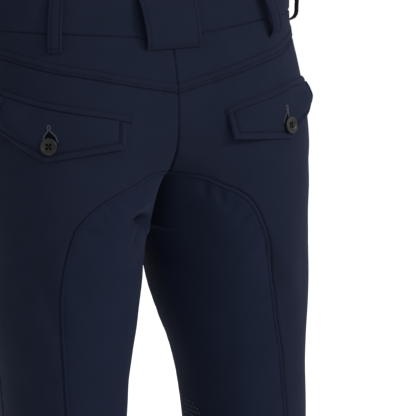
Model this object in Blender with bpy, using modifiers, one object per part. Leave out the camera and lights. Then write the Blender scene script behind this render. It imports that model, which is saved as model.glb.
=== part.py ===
"""Riding breeches, worn and hollow, in metres.

+Z is up, the front faces -Y and the wearer's left is +X.  The origin is the centre of the waistband.
Every panel is cut from one surface, drawn for the left half: g runs round a section from -2 (centre
front, or the inside of the leg) by -1 (front-most point), 0 (side) and 1 (back-most point) to 2
(centre back, or the inside of the leg again), and z runs down.  The right half is its mirror image.
"""

import math

import bmesh
import bpy
import numpy as np
from mathutils import Matrix, Vector

# Cloth
WALL = 0.0016            # stretch cloth with its seam allowances
BAND_WALL = 0.0022       # the waistband is doubled
FLAP_WALL = 0.0018
LOOP_WALL = 0.0020
SEAM_GAP = 0.0003
REST_GAP = 0.0003        # between a piece and the panel that it lies on

# Garment
BAND_HEIGHT = 0.045
CROTCH_Z = -0.218
HEM_Z = -0.875
ROUNDNESS = 2.15         # exponent of the outer arcs of a section, 2 is an ellipse

# Sections of the left half
SECTION_COLUMNS = "z x_side y_side x_front y_front x_back y_back y_inner"
SECTIONS = (
    (0.034, 0.1705, -0.006, 0.030, -0.103, 0.026, 0.080, -0.010),
    (0.000, 0.1630, -0.006, 0.032, -0.105, 0.030, 0.0925, -0.010),
    (-0.023, 0.1608, -0.006, 0.036, -0.107, 0.034, 0.102, -0.010),
    (-0.060, 0.1650, -0.006, 0.044, -0.111, 0.046, 0.1115, -0.009),
    (-0.100, 0.1705, -0.004, 0.056, -0.113, 0.062, 0.1150, -0.008),
    (-0.140, 0.1722, -0.001, 0.070, -0.111, 0.075, 0.1165, -0.006),
    (-0.180, 0.1694, 0.002, 0.080, -0.106, 0.082, 0.1155, -0.004),
    (-0.218, 0.1666, 0.005, 0.084, -0.099, 0.084, 0.1110, -0.004),
    (-0.240, 0.1660, 0.007, 0.087, -0.094, 0.087, 0.1083, -0.005),
    (-0.280, 0.1656, 0.010, 0.090, -0.086, 0.090, 0.1040, -0.006),
    (-0.350, 0.1597, 0.015, 0.094, -0.070, 0.094, 0.0980, 0.013),
    (-0.430, 0.1566, 0.020, 0.097, -0.055, 0.097, 0.0940, 0.018),
    (-0.500, 0.1510, 0.018, 0.095, -0.052, 0.095, 0.0820, 0.016),
    (-0.560, 0.1440, 0.012, 0.092, -0.050, 0.092, 0.0700, 0.010),
    (-0.620, 0.1390, 0.014, 0.089, -0.042, 0.089, 0.0700, 0.014),
    (-0.680, 0.1400, 0.022, 0.088, -0.034, 0.088, 0.0810, 0.024),
    (-0.760, 0.1310, 0.020, 0.085, -0.028, 0.085, 0.0700, 0.022),
    (-0.830, 0.1215, 0.014, 0.082, -0.026, 0.082, 0.0550, 0.014),
    (-0.880, 0.1180, 0.012, 0.081, -0.026, 0.081, 0.0500, 0.012),
)

# The centre seam, in the plane between the halves, from the top edge to the crotch
CENTRE_COLUMNS = "z y_back y_front"
CENTRE_SEAM = (
    (0.034, 0.0800, -0.1030),
    (0.000, 0.0925, -0.1050),
    (-0.023, 0.1020, -0.1070),
    (-0.060, 0.1115, -0.1110),
    (-0.100, 0.1135, -0.1129),
    (-0.120, 0.1102, -0.1117),
    (-0.135, 0.1032, -0.1098),
    (-0.150, 0.0888, -0.1064),
    (-0.165, 0.0714, -0.1006),
    (-0.180, 0.0534, -0.0910),
    (-0.195, 0.0370, -0.0750),
    (-0.205, 0.0245, -0.0580),
    (-0.212, 0.0130, -0.0390),
    (-0.218, -0.0040, -0.0040),
)

# Inside of the leg, from the crotch down
INNER_COLUMNS = "z x_inner"
INSIDE_LEG = (
    (-0.218, 0.0000),
    (-0.222, 0.0024),
    (-0.232, 0.0044),
    (-0.248, 0.0060),
    (-0.262, 0.0075),
    (-0.275, 0.0098),
    (-0.300, 0.0148),
    (-0.325, 0.0212),
    (-0.350, 0.0280),
    (-0.390, 0.0340),
    (-0.430, 0.0368),
    (-0.500, 0.0384),
    (-0.560, 0.0380),
    (-0.620, 0.0375),
    (-0.680, 0.0345),
    (-0.760, 0.0385),
    (-0.830, 0.0425),
    (-0.880, 0.0435),
)

# Seams.  along is the distance round the section from the centre back
BAND_SEAM_COLUMNS = "g z"
BAND_SEAM = (
    (-2.0, -0.0180),
    (-1.0, -0.0165),
    (0.0, -0.0125),
    (0.4, -0.0130),
    (0.8, -0.0170),
    (1.0, -0.0205),
    (2.0, -0.0225),
)
YOKE_SEAM_COLUMNS = "along z"
YOKE_SEAM = (
    (0.000, -0.0755),
    (0.035, -0.0680),
    (0.065, -0.0610),
    (0.093, -0.0548),
    (0.119, -0.0503),
    (0.144, -0.0445),
    (0.169, -0.0392),
    (0.240, -0.0290),
)
# Top arc of the full-seat panel, from the centre back outwards, and then its outer seam to the hem.
# The cloth is turned a little round the hips in the worn pose, so the sides differ.
SEAT_ARC_COLUMNS = "x_left z_left x_right z_right"
SEAT_ARC = (
    (0.0000, -0.1540, 0.0000, -0.1540),
    (0.0246, -0.1520, 0.0270, -0.1587),
    (0.0465, -0.1593, 0.0478, -0.1688),
    (0.0652, -0.1657, 0.0609, -0.1751),
    (0.0830, -0.1742, 0.0726, -0.1850),
    (0.0970, -0.1842, 0.0810, -0.1976),
    (0.1070, -0.1960, 0.0870, -0.2105),
)
SEAT_SIDE_COLUMNS = "z x_left x_right"
SEAT_SIDE = (
    (-0.196, 0.1070, 0.0790),
    (-0.2105, 0.1118, 0.0870),
    (-0.228, 0.1160, 0.0935),
    (-0.248, 0.1195, 0.0963),
    (-0.264, 0.1212, 0.0976),
    (-0.284, 0.1215, 0.1003),
    (-0.310, 0.1210, 0.1030),
    (-0.336, 0.1198, 0.1077),
    (-0.378, 0.1185, 0.1110),
    (-0.410, 0.1178, 0.1130),
    (-0.500, 0.1130, 0.1110),
    (-0.560, 0.1080, 0.1080),
    (-0.620, 0.1050, 0.1050),
    (-0.680, 0.1050, 0.1050),
    (-0.760, 0.1010, 0.1010),
    (-0.830, 0.0960, 0.0960),
    (-0.875, 0.0940, 0.0940),
)
# Inner front seam: how far past the inside of the leg the seat panel reaches, in g
INNER_SEAM_COLUMNS = "z wrap"
INNER_SEAM = (
    (-0.218, 0.00),
    (-0.240, 0.06),
    (-0.280, 0.14),
    (-0.350, 0.24),
    (-0.450, 0.30),
    (-0.880, 0.30),
)

# The largest folds, as lines on the surface.  depth is below 0 for a trough and above 0 for a ridge
FOLD_COLUMNS = "side g_start z_start g_end z_end width depth"
FOLDS = (
    ("left", 0.46, -0.200, 0.73, -0.305, 0.022, -0.0024),
    ("left", 0.64, -0.212, 0.90, -0.300, 0.020, 0.0012),
    ("right", 0.99, -0.216, 0.92, -0.295, 0.018, -0.0020),
    ("right", 0.84, -0.225, 0.76, -0.300, 0.018, 0.0016),
    ("left", 1.30, -0.222, 1.62, -0.212, 0.016, -0.0022),
    ("right", 1.24, -0.230, 1.60, -0.216, 0.016, -0.0018),
    ("left", -1.72, -0.208, -0.90, -0.168, 0.020, -0.0024),
    ("right", -1.76, -0.212, -0.82, -0.176, 0.019, -0.0022),
    ("left", -1.66, -0.246, -0.70, -0.232, 0.018, -0.0018),
    ("right", -1.60, -0.252, -0.84, -0.226, 0.020, -0.0020),
    ("left", 0.52, -0.540, 1.55, -0.566, 0.020, -0.0028),
    ("right", 0.60, -0.550, 1.62, -0.560, 0.019, -0.0026),
    ("left", 0.72, -0.604, 1.48, -0.592, 0.018, -0.0020),
    ("right", 0.56, -0.598, 1.40, -0.606, 0.018, -0.0022),
    ("left", -1.20, -0.806, 0.70, -0.830, 0.017, -0.0018),
    ("right", -1.30, -0.826, 0.50, -0.808, 0.017, -0.0018),
)
FOLD_STEPS = 25
FOLD_CLEAR_OF_CENTRE = 0.030   # folds fade out over this distance from the centre seam

# Columns and rows of the panels
BACK_COLUMNS = 12        # along the yoke seam, the band and the seat arc of a half
FRONT_COLUMNS = 12
YOKE_ROWS = 3
SIDE_ROWS = 26           # down the side seam and the seat panel's outer seam
CENTRE_BACK_ROWS = 7     # from the top of the seat panel to the crotch
CENTRE_FRONT_ROWS = 10
INNER_ROWS = 19
BACK_ACROSS = 7
CROTCH_CROWDING = 1.5    # rows lie closer together by the crotch, where the surface turns most
CROTCH_REACH = 0.050
BAND_ROWS = 2

# Overlap of the waistband in front
TAB_LENGTH = 0.036
TAB_MIDDLE_G = -1.45      # of the button under the lapping end
TAB_RISE_LENGTH = 0.040   # over which the lapping end rises
TAB_COLUMNS = 4
TAB_LIFT = BAND_WALL + REST_GAP

# Back pockets.  along is the distance round from the centre back, and drop_right is how much lower
# the right pocket hangs
WELT_COLUMNS = "along z_top z_bottom drop_right"
WELT = (
    (0.0475, -0.0948, -0.1003, 0.0000),
    (0.0660, -0.0890, -0.0950, 0.0000),
    (0.0870, -0.0847, -0.0908, 0.0000),
    (0.1100, -0.0806, -0.0866, 0.0000),
    (0.1350, -0.0762, -0.0817, 0.0005),
    (0.1520, -0.0723, -0.0780, 0.0050),
    (0.1780, -0.0664, -0.0724, 0.0105),
)
WELT_WALL = 0.0016
FLAP_COLUMNS = "along_left z_left along_right z_right"
FLAP_EDGE = (
    (0.0576, -0.1222, 0.0518, -0.1222),
    (0.0915, -0.1262, 0.0800, -0.1254),
    (0.1190, -0.1298, 0.1020, -0.1278),
    (0.1335, -0.1322, 0.1220, -0.1297),
    (0.1480, -0.1250, 0.1400, -0.1205),
    (0.1820, -0.1058, 0.1780, -0.1080),
)
FLAP_TOP_START = {"left": 0.0540, "right": 0.0490}   # along of the inner end of the flap's top
FLAP_TOP_GAP = 0.0006     # between the welt and the top of the flap
FLAP_ACROSS = 15
FLAP_ROWS = 5
FLAP_SAG_LIFT = 0.0006    # of the whole lower edge
FLAP_INNER_LIFT = {"left": 0.0030, "right": 0.0080}   # of the free lower corner nearest the centre
FLAP_INNER_REACH = (0.055, 0.105)   # along over which that corner comes down
POCKET_OUTER_LIFT = {"left": 0.0080, "right": 0.0055}   # of the outer end of both, near the middle
POCKET_OUTER_SAG = 1.3    # above 1 puts the most of it below the middle
POCKET_OUTER_REACH = (0.130, 0.172)
FLAP_BUTTON_ALONG = {"left": 0.1283, "right": 0.1190}
FLAP_BUTTON_Z = -0.1172

# Buttons
BUTTON_RADIUS = 0.0088
BUTTON_THICKNESS = 0.0030
BUTTON_RIM = 0.0014
BUTTON_HOLE_RADIUS = 0.0010
BUTTON_HOLE_OFFSET = 0.0022
BUTTON_STEPS = 28

# Belt loops.  along is the distance round the waist from the centre back
LOOP_WIDTH = 0.0130
LOOP_TOP = 0.001          # below the top of the waistband
LOOP_COLUMNS = 4          # of points across a loop
LOOPS_COLUMNS = "place side along_top along_bottom below_seam bow"
LOOPS = (
    ("back", "left", 0.1026, 0.1145, 0.0180, 0.0045),
    ("back", "right", 0.1026, 0.1145, 0.0180, 0.0100),
    ("side", "left", 0.1945, 0.1935, 0.0117, 0.0084),
    ("side", "right", 0.1945, 0.1935, 0.0117, 0.0084),
    ("front", "left", 0.3300, 0.3300, 0.0180, 0.0062),
    ("front", "right", 0.3300, 0.3300, 0.0180, 0.0062),
)
# How far down a loop stands off, as a share of its bow
LOOP_PROFILE_COLUMNS = "down patch back side front"
LOOP_PROFILE = (
    (0.000, 0.00, 0.00, 0.00, 0.00),
    (0.070, 0.10, 0.08, 0.10, 0.10),
    (0.160, 0.45, 0.22, 0.30, 0.45),
    (0.300, 0.85, 0.50, 0.66, 0.85),
    (0.460, 1.00, 0.86, 0.92, 1.00),
    (0.620, 1.00, 1.00, 1.00, 1.00),
    (0.760, 0.92, 0.96, 0.96, 0.92),
    (0.870, 0.72, 0.82, 0.90, 0.72),
    (0.940, 0.45, 0.58, 0.70, 0.45),
    (0.975, 0.18, 0.30, 0.42, 0.18),
    (1.000, 0.00, 0.00, 0.00, 0.00),
)
PATCH_TOP_WIDTH = 0.0580
PATCH_BOTTOM_WIDTH = 0.0545
PATCH_BELOW_SEAM = 0.0115
PATCH_BOW = 0.0075
PATCH_WALL = 0.0024

# Fly
FLY_SHIELD_WIDTH = 0.044
FLY_SHIELD_GAP = 0.0012   # clear of the panels where they start to dip to the centre seam
FLY_SHIELD_ROWS = 3       # of the rows of the front panels
FLY_SHIELD_WALL = 0.0014

# Colour, roughness and metallic value of each material
NAVY_CLOTH = ("navy_stretch_cloth", (0.012, 0.018, 0.040), 0.75, 0.0)
DARK_PLASTIC = ("dark_button_plastic", (0.030, 0.030, 0.034), 0.40, 0.0)

LEFT = 1
RIGHT = -1
SIDES = {"left": LEFT, "right": RIGHT}


def curve_through(knots, values):
    """A smooth curve through the values at the knots, as a function."""
    order = np.argsort(knots)
    knots = np.asarray(knots, float)[order]
    values = np.asarray(values, float)[order]
    slopes = np.gradient(values, knots)

    def at(where):
        where = np.asarray(where, float)
        i = np.clip(np.searchsorted(knots, where) - 1, 0, len(knots) - 2)
        span = knots[i + 1] - knots[i]
        s = np.clip((where - knots[i]) / span, 0.0, 1.0)
        return (
            values[i] * (1 + 2 * s) * (1 - s) ** 2
            + slopes[i] * span * s * (1 - s) ** 2
            + values[i + 1] * s**2 * (3 - 2 * s)
            - slopes[i + 1] * span * s**2 * (1 - s)
        )

    return at


def column(table, columns, name):
    return np.array(table)[:, columns.split().index(name)]


def table_curve(table, columns, name, by):
    return curve_through(column(table, columns, by), column(table, columns, name))


SECTION = {
    name: table_curve(SECTIONS, SECTION_COLUMNS, name, "z") for name in SECTION_COLUMNS.split()[1:]
}
# Near the crotch the centre seam and the inside leg turn like the root of the height above or below it
CENTRE = {
    name: curve_through(
        np.sqrt(column(CENTRE_SEAM, CENTRE_COLUMNS, "z") - CROTCH_Z),
        column(CENTRE_SEAM, CENTRE_COLUMNS, name),
    )
    for name in ("y_back", "y_front")
}
X_INNER = curve_through(
    np.sqrt(CROTCH_Z - column(INSIDE_LEG, INNER_COLUMNS, "z")), column(INSIDE_LEG, INNER_COLUMNS, "x_inner")
)


def half_surface(g, z):
    """The outer face of the left half at g and z, as an array of points."""
    g, z = np.broadcast_arrays(np.asarray(g, float), np.asarray(z, float))
    g = np.where(g > 2, np.where(z < CROTCH_Z, g - 4, 2.0), g)
    above = z >= CROTCH_Z
    back = g >= 0
    x_end = np.where(back, SECTION["x_back"](z), SECTION["x_front"](z))
    y_end = np.where(back, SECTION["y_back"](z), SECTION["y_front"](z))
    x_side, y_side, y_inner = (SECTION[name](z) for name in ("x_side", "y_side", "y_inner"))
    rise = np.sqrt(np.maximum(z - CROTCH_Z, 0))
    y_centre = np.where(back, CENTRE["y_back"](rise), CENTRE["y_front"](rise))
    x_inner = np.where(above, 0.0, X_INNER(np.sqrt(np.maximum(CROTCH_Z - z, 0))))

    turn = np.clip(np.abs(g), 0, 1) * math.pi / 2
    power = 2 / ROUNDNESS
    x_outer = x_end + (x_side - x_end) * np.cos(turn) ** power
    y_outer = y_side + (y_end - y_side) * np.sin(turn) ** power

    # The inner arc is a quarter ellipse on a leg, and above the crotch it ends on the centre seam
    share = np.clip((y_centre - y_inner) / (y_end - y_inner), 0.0, 0.9999)
    last = np.where(above, np.arccos(share), math.pi / 2)
    width = np.where(above, x_end / np.sin(last), x_end - x_inner)
    turn = np.clip(np.abs(g) - 1, 0, 1) * last
    x_arc = x_end - width * np.sin(turn)
    y_arc = y_inner + (y_end - y_inner) * np.cos(turn)
    inner = np.abs(g) > 1
    return np.stack([np.where(inner, x_arc, x_outer), np.where(inner, y_arc, y_outer), z], axis=-1)


def normals_at(g, z):
    """Unit normals of the left half, pointing out of the garment."""
    step_g, step_z = 2e-3, 2e-4
    g, z = np.broadcast_arrays(np.asarray(g, float), np.asarray(z, float))
    wraps = z < CROTCH_Z
    high = np.where(wraps, g + step_g, np.minimum(g + step_g, 2))
    low = np.maximum(g - step_g, -2)
    along = half_surface(high, z) - half_surface(low, z)
    down = half_surface(g, z - step_z) - half_surface(g, z + step_z)
    normal = np.cross(down, along)
    normal /= np.maximum(np.linalg.norm(normal, axis=-1, keepdims=True), 1e-12)
    at_crotch = (np.abs(np.abs(g) - 2) < 1e-6) & (np.abs(z - CROTCH_Z) < 5e-4)
    normal[at_crotch] = (0, 0, -1)
    return normal


def smooth_step(t):
    t = np.clip(t, 0, 1)
    return t * t * (3 - 2 * t)


def fold_height(points, side_name):
    """How far the folds of one side move the cloth out at points of the left half."""
    height = np.zeros(points.shape[:-1])
    t = np.linspace(0, 1, FOLD_STEPS)
    for side, g_start, z_start, g_end, z_end, width, depth in FOLDS:
        if side != side_name:
            continue
        line = half_surface(g_start + (g_end - g_start) * t, z_start + (z_end - z_start) * t)
        away = np.linalg.norm(points[..., None, :] - line, axis=-1)
        swell = np.sqrt(np.sin(math.pi * (0.06 + 0.88 * t)))[away.argmin(axis=-1)]
        height += depth * swell * np.exp(-((away.min(axis=-1) / width) ** 2))
    return height * smooth_step(points[..., 0] / FOLD_CLEAR_OF_CENTRE)


def mirrored(points, side):
    return points * np.array([side, 1, 1])


GIRTH_G = np.linspace(2, -2, 801)


def g_along(distance, z):
    """g of the point at a distance round the section at z from the centre back."""
    distance, z = np.broadcast_arrays(np.asarray(distance, float), np.asarray(z, float))
    found = np.empty(distance.shape)
    for index in np.ndindex(distance.shape):
        ring = half_surface(GIRTH_G, z[index])
        run = np.concatenate([[0], np.cumsum(np.linalg.norm(np.diff(ring, axis=0), axis=1))])
        found[index] = np.interp(distance[index], run, GIRTH_G)
    return found


def g_at_x(x, z, centre=2):
    """g of the point at x, on the back of the left half or, with centre=-2, on its front."""
    x, z = np.broadcast_arrays(np.asarray(x, float), np.asarray(z, float))
    line = np.linspace(centre, 0, 401)
    found = np.empty(x.shape)
    for index in np.ndindex(x.shape):
        found[index] = np.interp(x[index], half_surface(line, z[index])[:, 0], line)
    return found


def evenly(g, z, count):
    """count + 1 points of the line through dense g and z, even in space but closer together by the crotch."""
    run = np.linalg.norm(np.diff(half_surface(g, z), axis=0), axis=1)
    middle = (z[1:] + z[:-1]) / 2
    crowding = 1 + CROTCH_CROWDING * np.exp(-(((middle - CROTCH_Z) / CROTCH_REACH) ** 2))
    run = np.concatenate([[0], np.cumsum(run * crowding)])
    where = np.linspace(0, run[-1], count + 1)
    return np.stack([np.interp(where, run, g), np.interp(where, run, z)], axis=-1)


# Seams as lines of (g, z).  The panels on both sides of a seam share its points
DENSE = 200


def band_seam(g):
    return table_curve(BAND_SEAM, BAND_SEAM_COLUMNS, "z", "g")(g)


def yoke_line():
    """The yoke seam from the centre back to the side."""
    z_of = table_curve(YOKE_SEAM, YOKE_SEAM_COLUMNS, "z", "along")
    along = np.linspace(0, column(YOKE_SEAM, YOKE_SEAM_COLUMNS, "along")[-1], DENSE)
    z = z_of(along)
    g = g_along(along, z)
    reached = np.argmax(g <= 0) if (g <= 0).any() else DENSE - 1
    g, z = g[: reached + 1], z[: reached + 1]
    g[-1] = 0
    return evenly(g, z, BACK_COLUMNS)


def band_line_back():
    g = np.linspace(2, 0, DENSE)
    return evenly(g, band_seam(g), BACK_COLUMNS)


def band_line_front():
    g = np.linspace(0, -2, DENSE)
    return evenly(g, band_seam(g), FRONT_COLUMNS)


def seat_arc(side_name):
    """From the centre back outwards to the corner of the seat panel."""
    x, z = (column(SEAT_ARC, SEAT_ARC_COLUMNS, f"{axis}_{side_name}") for axis in "xz")
    step = np.arange(len(x))
    fine = np.linspace(0, step[-1], DENSE)
    x, z = curve_through(step, x)(fine), curve_through(step, z)(fine)
    return evenly(g_at_x(x, z), z, BACK_COLUMNS)


def seat_side(side_name):
    top = column(SEAT_ARC, SEAT_ARC_COLUMNS, f"z_{side_name}")[-1]
    z = np.linspace(top, HEM_Z, DENSE)
    x = table_curve(SEAT_SIDE, SEAT_SIDE_COLUMNS, f"x_{side_name}", "z")(z)
    return evenly(g_at_x(x, z), z, SIDE_ROWS)


def side_line():
    top = yoke_line()[-1][1]
    z = np.linspace(top, HEM_Z, DENSE)
    return evenly(np.zeros(DENSE), z, SIDE_ROWS)


def centre_line(g, top, rows):
    """Down the centre seam to the crotch, closer together where it turns."""
    rise = np.linspace(math.sqrt(top - CROTCH_Z), 0, DENSE)
    return evenly(np.full(DENSE, float(g)), CROTCH_Z + rise**2, rows)


def inner_line():
    drop = np.linspace(0, math.sqrt(CROTCH_Z - HEM_Z), DENSE)
    z = CROTCH_Z - drop**2
    heights, wraps = (column(INNER_SEAM, INNER_SEAM_COLUMNS, name)[::-1] for name in ("z", "wrap"))
    return evenly(2 + np.interp(z, heights, wraps), z, INNER_ROWS)


def straight(start, end, count):
    return np.linspace(start, end, count + 1)


def patch(top, bottom, left, right):
    """A grid of (g, z) inside four border lines: rows go from top to bottom, columns from left to right."""
    across = np.linspace(0, 1, len(top))[None, :, None]
    down = np.linspace(0, 1, len(left))[:, None, None]
    ruled = (1 - down) * top[None] + down * bottom[None]
    ruled = ruled + (1 - across) * left[:, None] + across * right[:, None]
    corners = (
        (1 - down) * (1 - across) * top[0]
        + (1 - down) * across * top[-1]
        + down * (1 - across) * bottom[0]
        + down * across * bottom[-1]
    )
    return ruled - corners


def inset(points, borders):
    """The grid with its named borders moved in by half the seam gap."""
    moved = points.copy()
    rows = {
        "top": (points[0], points[1], (0, slice(None))),
        "bottom": (points[-1], points[-2], (-1, slice(None))),
        "left": (points[:, 0], points[:, 1], (slice(None), 0)),
        "right": (points[:, -1], points[:, -2], (slice(None), -1)),
    }
    for name in borders:
        edge, neighbour, where = rows[name]
        tangent = np.gradient(edge, axis=0)
        tangent /= np.linalg.norm(tangent, axis=-1, keepdims=True)
        inward = neighbour - edge
        inward -= tangent * (inward * tangent).sum(-1, keepdims=True)
        inward /= np.linalg.norm(inward, axis=-1, keepdims=True)
        moved[where] += inward * SEAM_GAP / 2
    return moved


def slab_faces(rows, columns):
    """Quads of a closed slab: an outer grid, an inner grid and the edges between them."""
    size = rows * columns

    def outer(i, j):
        return i * columns + j

    def inner(i, j):
        return size + i * columns + j

    faces = []
    for i in range(rows - 1):
        for j in range(columns - 1):
            faces.append((outer(i, j), outer(i + 1, j), outer(i + 1, j + 1), outer(i, j + 1)))
            faces.append((inner(i, j), inner(i, j + 1), inner(i + 1, j + 1), inner(i + 1, j)))
    border = (
        [(i, 0) for i in range(rows)]
        + [(rows - 1, j) for j in range(1, columns)]
        + [(i, columns - 1) for i in range(rows - 2, -1, -1)]
        + [(0, j) for j in range(columns - 2, 0, -1)]
    )
    for here, there in zip(border, border[1:] + border[:1]):
        faces.append((outer(*there), outer(*here), inner(*here), inner(*there)))
    return faces


def material(described):
    name, colour, roughness, metallic = described
    found = bpy.data.materials.get(name)
    if found:
        return found
    made = bpy.data.materials.new(name)
    made.use_nodes = True
    shader = made.node_tree.nodes["Principled BSDF"]
    shader.inputs["Base Color"].default_value = (*colour, 1)
    shader.inputs["Roughness"].default_value = roughness
    shader.inputs["Metallic"].default_value = metallic
    return made


def add_object(name, mesh, described=NAVY_CLOTH):
    mesh.materials.append(material(described))
    mesh.shade_smooth()
    mesh.set_sharp_from_angle(angle=math.radians(40))
    made = bpy.data.objects.new(name, mesh)
    PARTS.objects.link(made)
    return made


def outward(mesh):
    shape = bmesh.new()
    shape.from_mesh(mesh)
    bmesh.ops.recalc_face_normals(shape, faces=shape.faces)
    shape.to_mesh(mesh)
    shape.free()


def add_slab(name, outer, inner):
    """A piece of cloth between two grids of points, which loft one section into the next."""
    mesh = bpy.data.meshes.new(name)
    points = np.concatenate([outer.reshape(-1, 3), inner.reshape(-1, 3)])
    mesh.from_pydata(points.tolist(), [], slab_faces(*outer.shape[:2]))
    outward(mesh)
    return add_object(name, mesh)


def add_panel(kind, side_name, grid, borders=("top", "left", "right")):
    """A panel of the garment from its grid of (g, z): the wall goes inwards from the outer face."""
    g, z = grid[..., 0], grid[..., 1]
    plain, normal = half_surface(g, z), normals_at(g, z)
    outer = inset(plain + normal * fold_height(plain, side_name)[..., None], borders)
    inner = outer - normal * WALL
    side = SIDES[side_name]
    return add_slab(f"{kind}_{side_name}", mirrored(outer, side), mirrored(inner, side))


def add_sheet(name, points, wall, offset):
    """An open sheet of cloth given its thickness by Solidify."""
    rows, columns = points.shape[:2]
    faces = [
        (i * columns + j, (i + 1) * columns + j, (i + 1) * columns + j + 1, i * columns + j + 1)
        for i in range(rows - 1)
        for j in range(columns - 1)
    ]
    mesh = bpy.data.meshes.new(name)
    mesh.from_pydata(points.reshape(-1, 3).tolist(), [], faces)
    made = add_object(name, mesh)
    solidify = made.modifiers.new("cloth", "SOLIDIFY")
    solidify.thickness = wall
    solidify.offset = offset
    return made


def yoke_side_line():
    return straight(band_line_back()[-1], yoke_line()[-1], YOKE_ROWS)


def front_grid():
    top, side, inner = band_line_front(), side_line(), inner_line() - np.array([4.0, 0.0])
    right = np.concatenate([centre_line(-2, top[-1][1], CENTRE_FRONT_ROWS), inner[1:]])
    left = np.concatenate([yoke_side_line(), side[1:]])
    return patch(top, straight(side[-1], inner[-1], FRONT_COLUMNS), left, right)


def build_panels():
    band_back, yoke, side, inner = band_line_back(), yoke_line(), side_line(), inner_line()
    yoke_centre = straight(band_back[0], yoke[0], YOKE_ROWS)
    for name in SIDES:
        arc, seat_edge = seat_arc(name), seat_side(name)

        yoke_grid = patch(band_back, yoke, yoke_centre, yoke_side_line())
        add_panel("yoke", name, yoke_grid, ("top", "bottom", "left", "right"))

        centre = centre_line(2, arc[0][1], CENTRE_BACK_ROWS)
        right = np.concatenate([centre, inner[1:]])
        hem = straight(seat_edge[-1], inner[-1], BACK_COLUMNS)
        add_panel("seat", name, patch(arc[::-1], hem, seat_edge, right))

        start = straight(arc[0], yoke[0], BACK_ACROSS)
        end = straight(seat_edge[-1], side[-1], BACK_ACROSS)
        inside = np.concatenate([arc, seat_edge[1:]])
        outside = np.concatenate([yoke, side[1:]])
        add_panel("back", name, patch(start, end, inside, outside))

        add_panel("front", name, front_grid())


def build_waistband():
    """One strip from the right front end, round the back, to the left end that laps over it."""
    half = np.concatenate([band_line_front()[::-1], band_line_back()[::-1][1:]])
    up = np.linspace(1, 0, BAND_ROWS + 1)[:, None]
    rise = SEAM_GAP / 2 + (BAND_HEIGHT - SEAM_GAP / 2) * up
    g = np.broadcast_to(half[:, 0], (BAND_ROWS + 1, len(half)))
    points, normal = half_surface(g, half[:, 1] + rise), normals_at(g, half[:, 1] + rise)

    # The left end rises over the right one and runs on past the centre front
    lift = smooth_step(1 - points[..., 0] / TAB_RISE_LENGTH) * (g < -1) * TAB_LIFT
    left = points + normal * lift[..., None]
    tab_x = np.linspace(TAB_LENGTH, 0, TAB_COLUMNS + 1)[:-1]
    tab_g = g_at_x(tab_x, band_seam(-2.0) + BAND_HEIGHT / 2, centre=-2)
    tab_z = band_seam(tab_g) + rise
    tab_g = np.broadcast_to(tab_g, tab_z.shape)
    tab_normal = normals_at(tab_g, tab_z)
    tab = mirrored(half_surface(tab_g, tab_z) + tab_normal * TAB_LIFT, RIGHT)

    right = mirrored(points, RIGHT)[:, ::-1][:, 1:]
    outer = np.concatenate([tab, left, right], axis=1)
    turned = [mirrored(tab_normal, RIGHT), normal, mirrored(normal, RIGHT)[:, ::-1][:, 1:]]
    add_slab("waistband", outer, outer - np.concatenate(turned, axis=1) * BAND_WALL)


def welt_line(name, side_name):
    """The height of the welt's top or bottom, by along."""
    at, drop = (table_curve(WELT, WELT_COLUMNS, wanted, "along") for wanted in (name, "drop_right"))
    share = 1 if side_name == "right" else 0
    return lambda along: at(along) - share * drop(along)


def flap_edge(side_name):
    """The cut of a flap's lower edge, as along and z."""
    return tuple(column(FLAP_EDGE, FLAP_COLUMNS, f"{name}_{side_name}") for name in ("along", "z"))


def pocket_stand(along, z, side_name):
    """How far welt and flap stand off: the flap's inner corner is free and the outer end of both gapes."""
    top, seam = (welt_line(name, side_name)(along) for name in ("z_top", "z_bottom"))
    low = np.interp(along, *flap_edge(side_name))
    down_flap = np.clip((seam - z) / (seam - low), 0, 1)
    down = np.clip((top - z) / (top - low), 0, 1)
    near, far = FLAP_INNER_REACH
    inner = smooth_step((far - along) / (far - near)) * FLAP_INNER_LIFT[side_name] * down_flap
    near, far = POCKET_OUTER_REACH
    swell = np.sin(math.pi * down**POCKET_OUTER_SAG)
    outer = smooth_step((along - near) / (far - near)) * POCKET_OUTER_LIFT[side_name] * swell
    return inner + outer + FLAP_SAG_LIFT * down_flap


def add_pocket_sheet(name, side_name, along, z, wall):
    g = g_along(along, z)
    lift = REST_GAP + pocket_stand(along, z, side_name)
    points = half_surface(g, z) + normals_at(g, z) * lift[..., None]
    add_sheet(f"{name}_{side_name}", mirrored(points, SIDES[side_name]), wall, -SIDES[side_name])


def build_pockets():
    ends = column(WELT, WELT_COLUMNS, "along")[[0, -1]]
    for name in SIDES:
        z_top, z_bottom = welt_line("z_top", name), welt_line("z_bottom", name)
        along = np.linspace(*ends, FLAP_ACROSS + 1)
        z = np.stack([z_top(along), z_bottom(along)])
        add_pocket_sheet("pocket_welt", name, np.stack([along, along]), z, WELT_WALL)

        # The flap hangs from the welt: its columns stay together with the cut of its lower edge
        edge_along, edge_z = flap_edge(name)
        bottom_along = np.linspace(edge_along[0], edge_along[-1], FLAP_ACROSS + 1)
        tip = edge_along[np.argmin(edge_z)]
        bottom_along[np.argmin(np.abs(bottom_along - tip))] = tip
        bottom = np.interp(bottom_along, edge_along, edge_z)
        top_along = np.linspace(FLAP_TOP_START[name], ends[1], FLAP_ACROSS + 1)
        down = np.linspace(0, 1, FLAP_ROWS + 1)[:, None]
        z = (z_bottom(top_along) - FLAP_TOP_GAP) * (1 - down) + bottom * down
        add_pocket_sheet("pocket_flap", name, top_along * (1 - down) + bottom_along * down, z, FLAP_WALL)


def frame_at(along, z, side, lift):
    """A matrix at a point of the panel, with its Z axis along the panel's normal."""
    g = g_along(along, z)
    normal = Vector(mirrored(normals_at(g, z), side))
    place = Vector(mirrored(half_surface(g, z), side)) + normal * lift
    return Matrix.Translation(place) @ normal.to_track_quat("Z", "Y").to_matrix().to_4x4()


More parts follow.
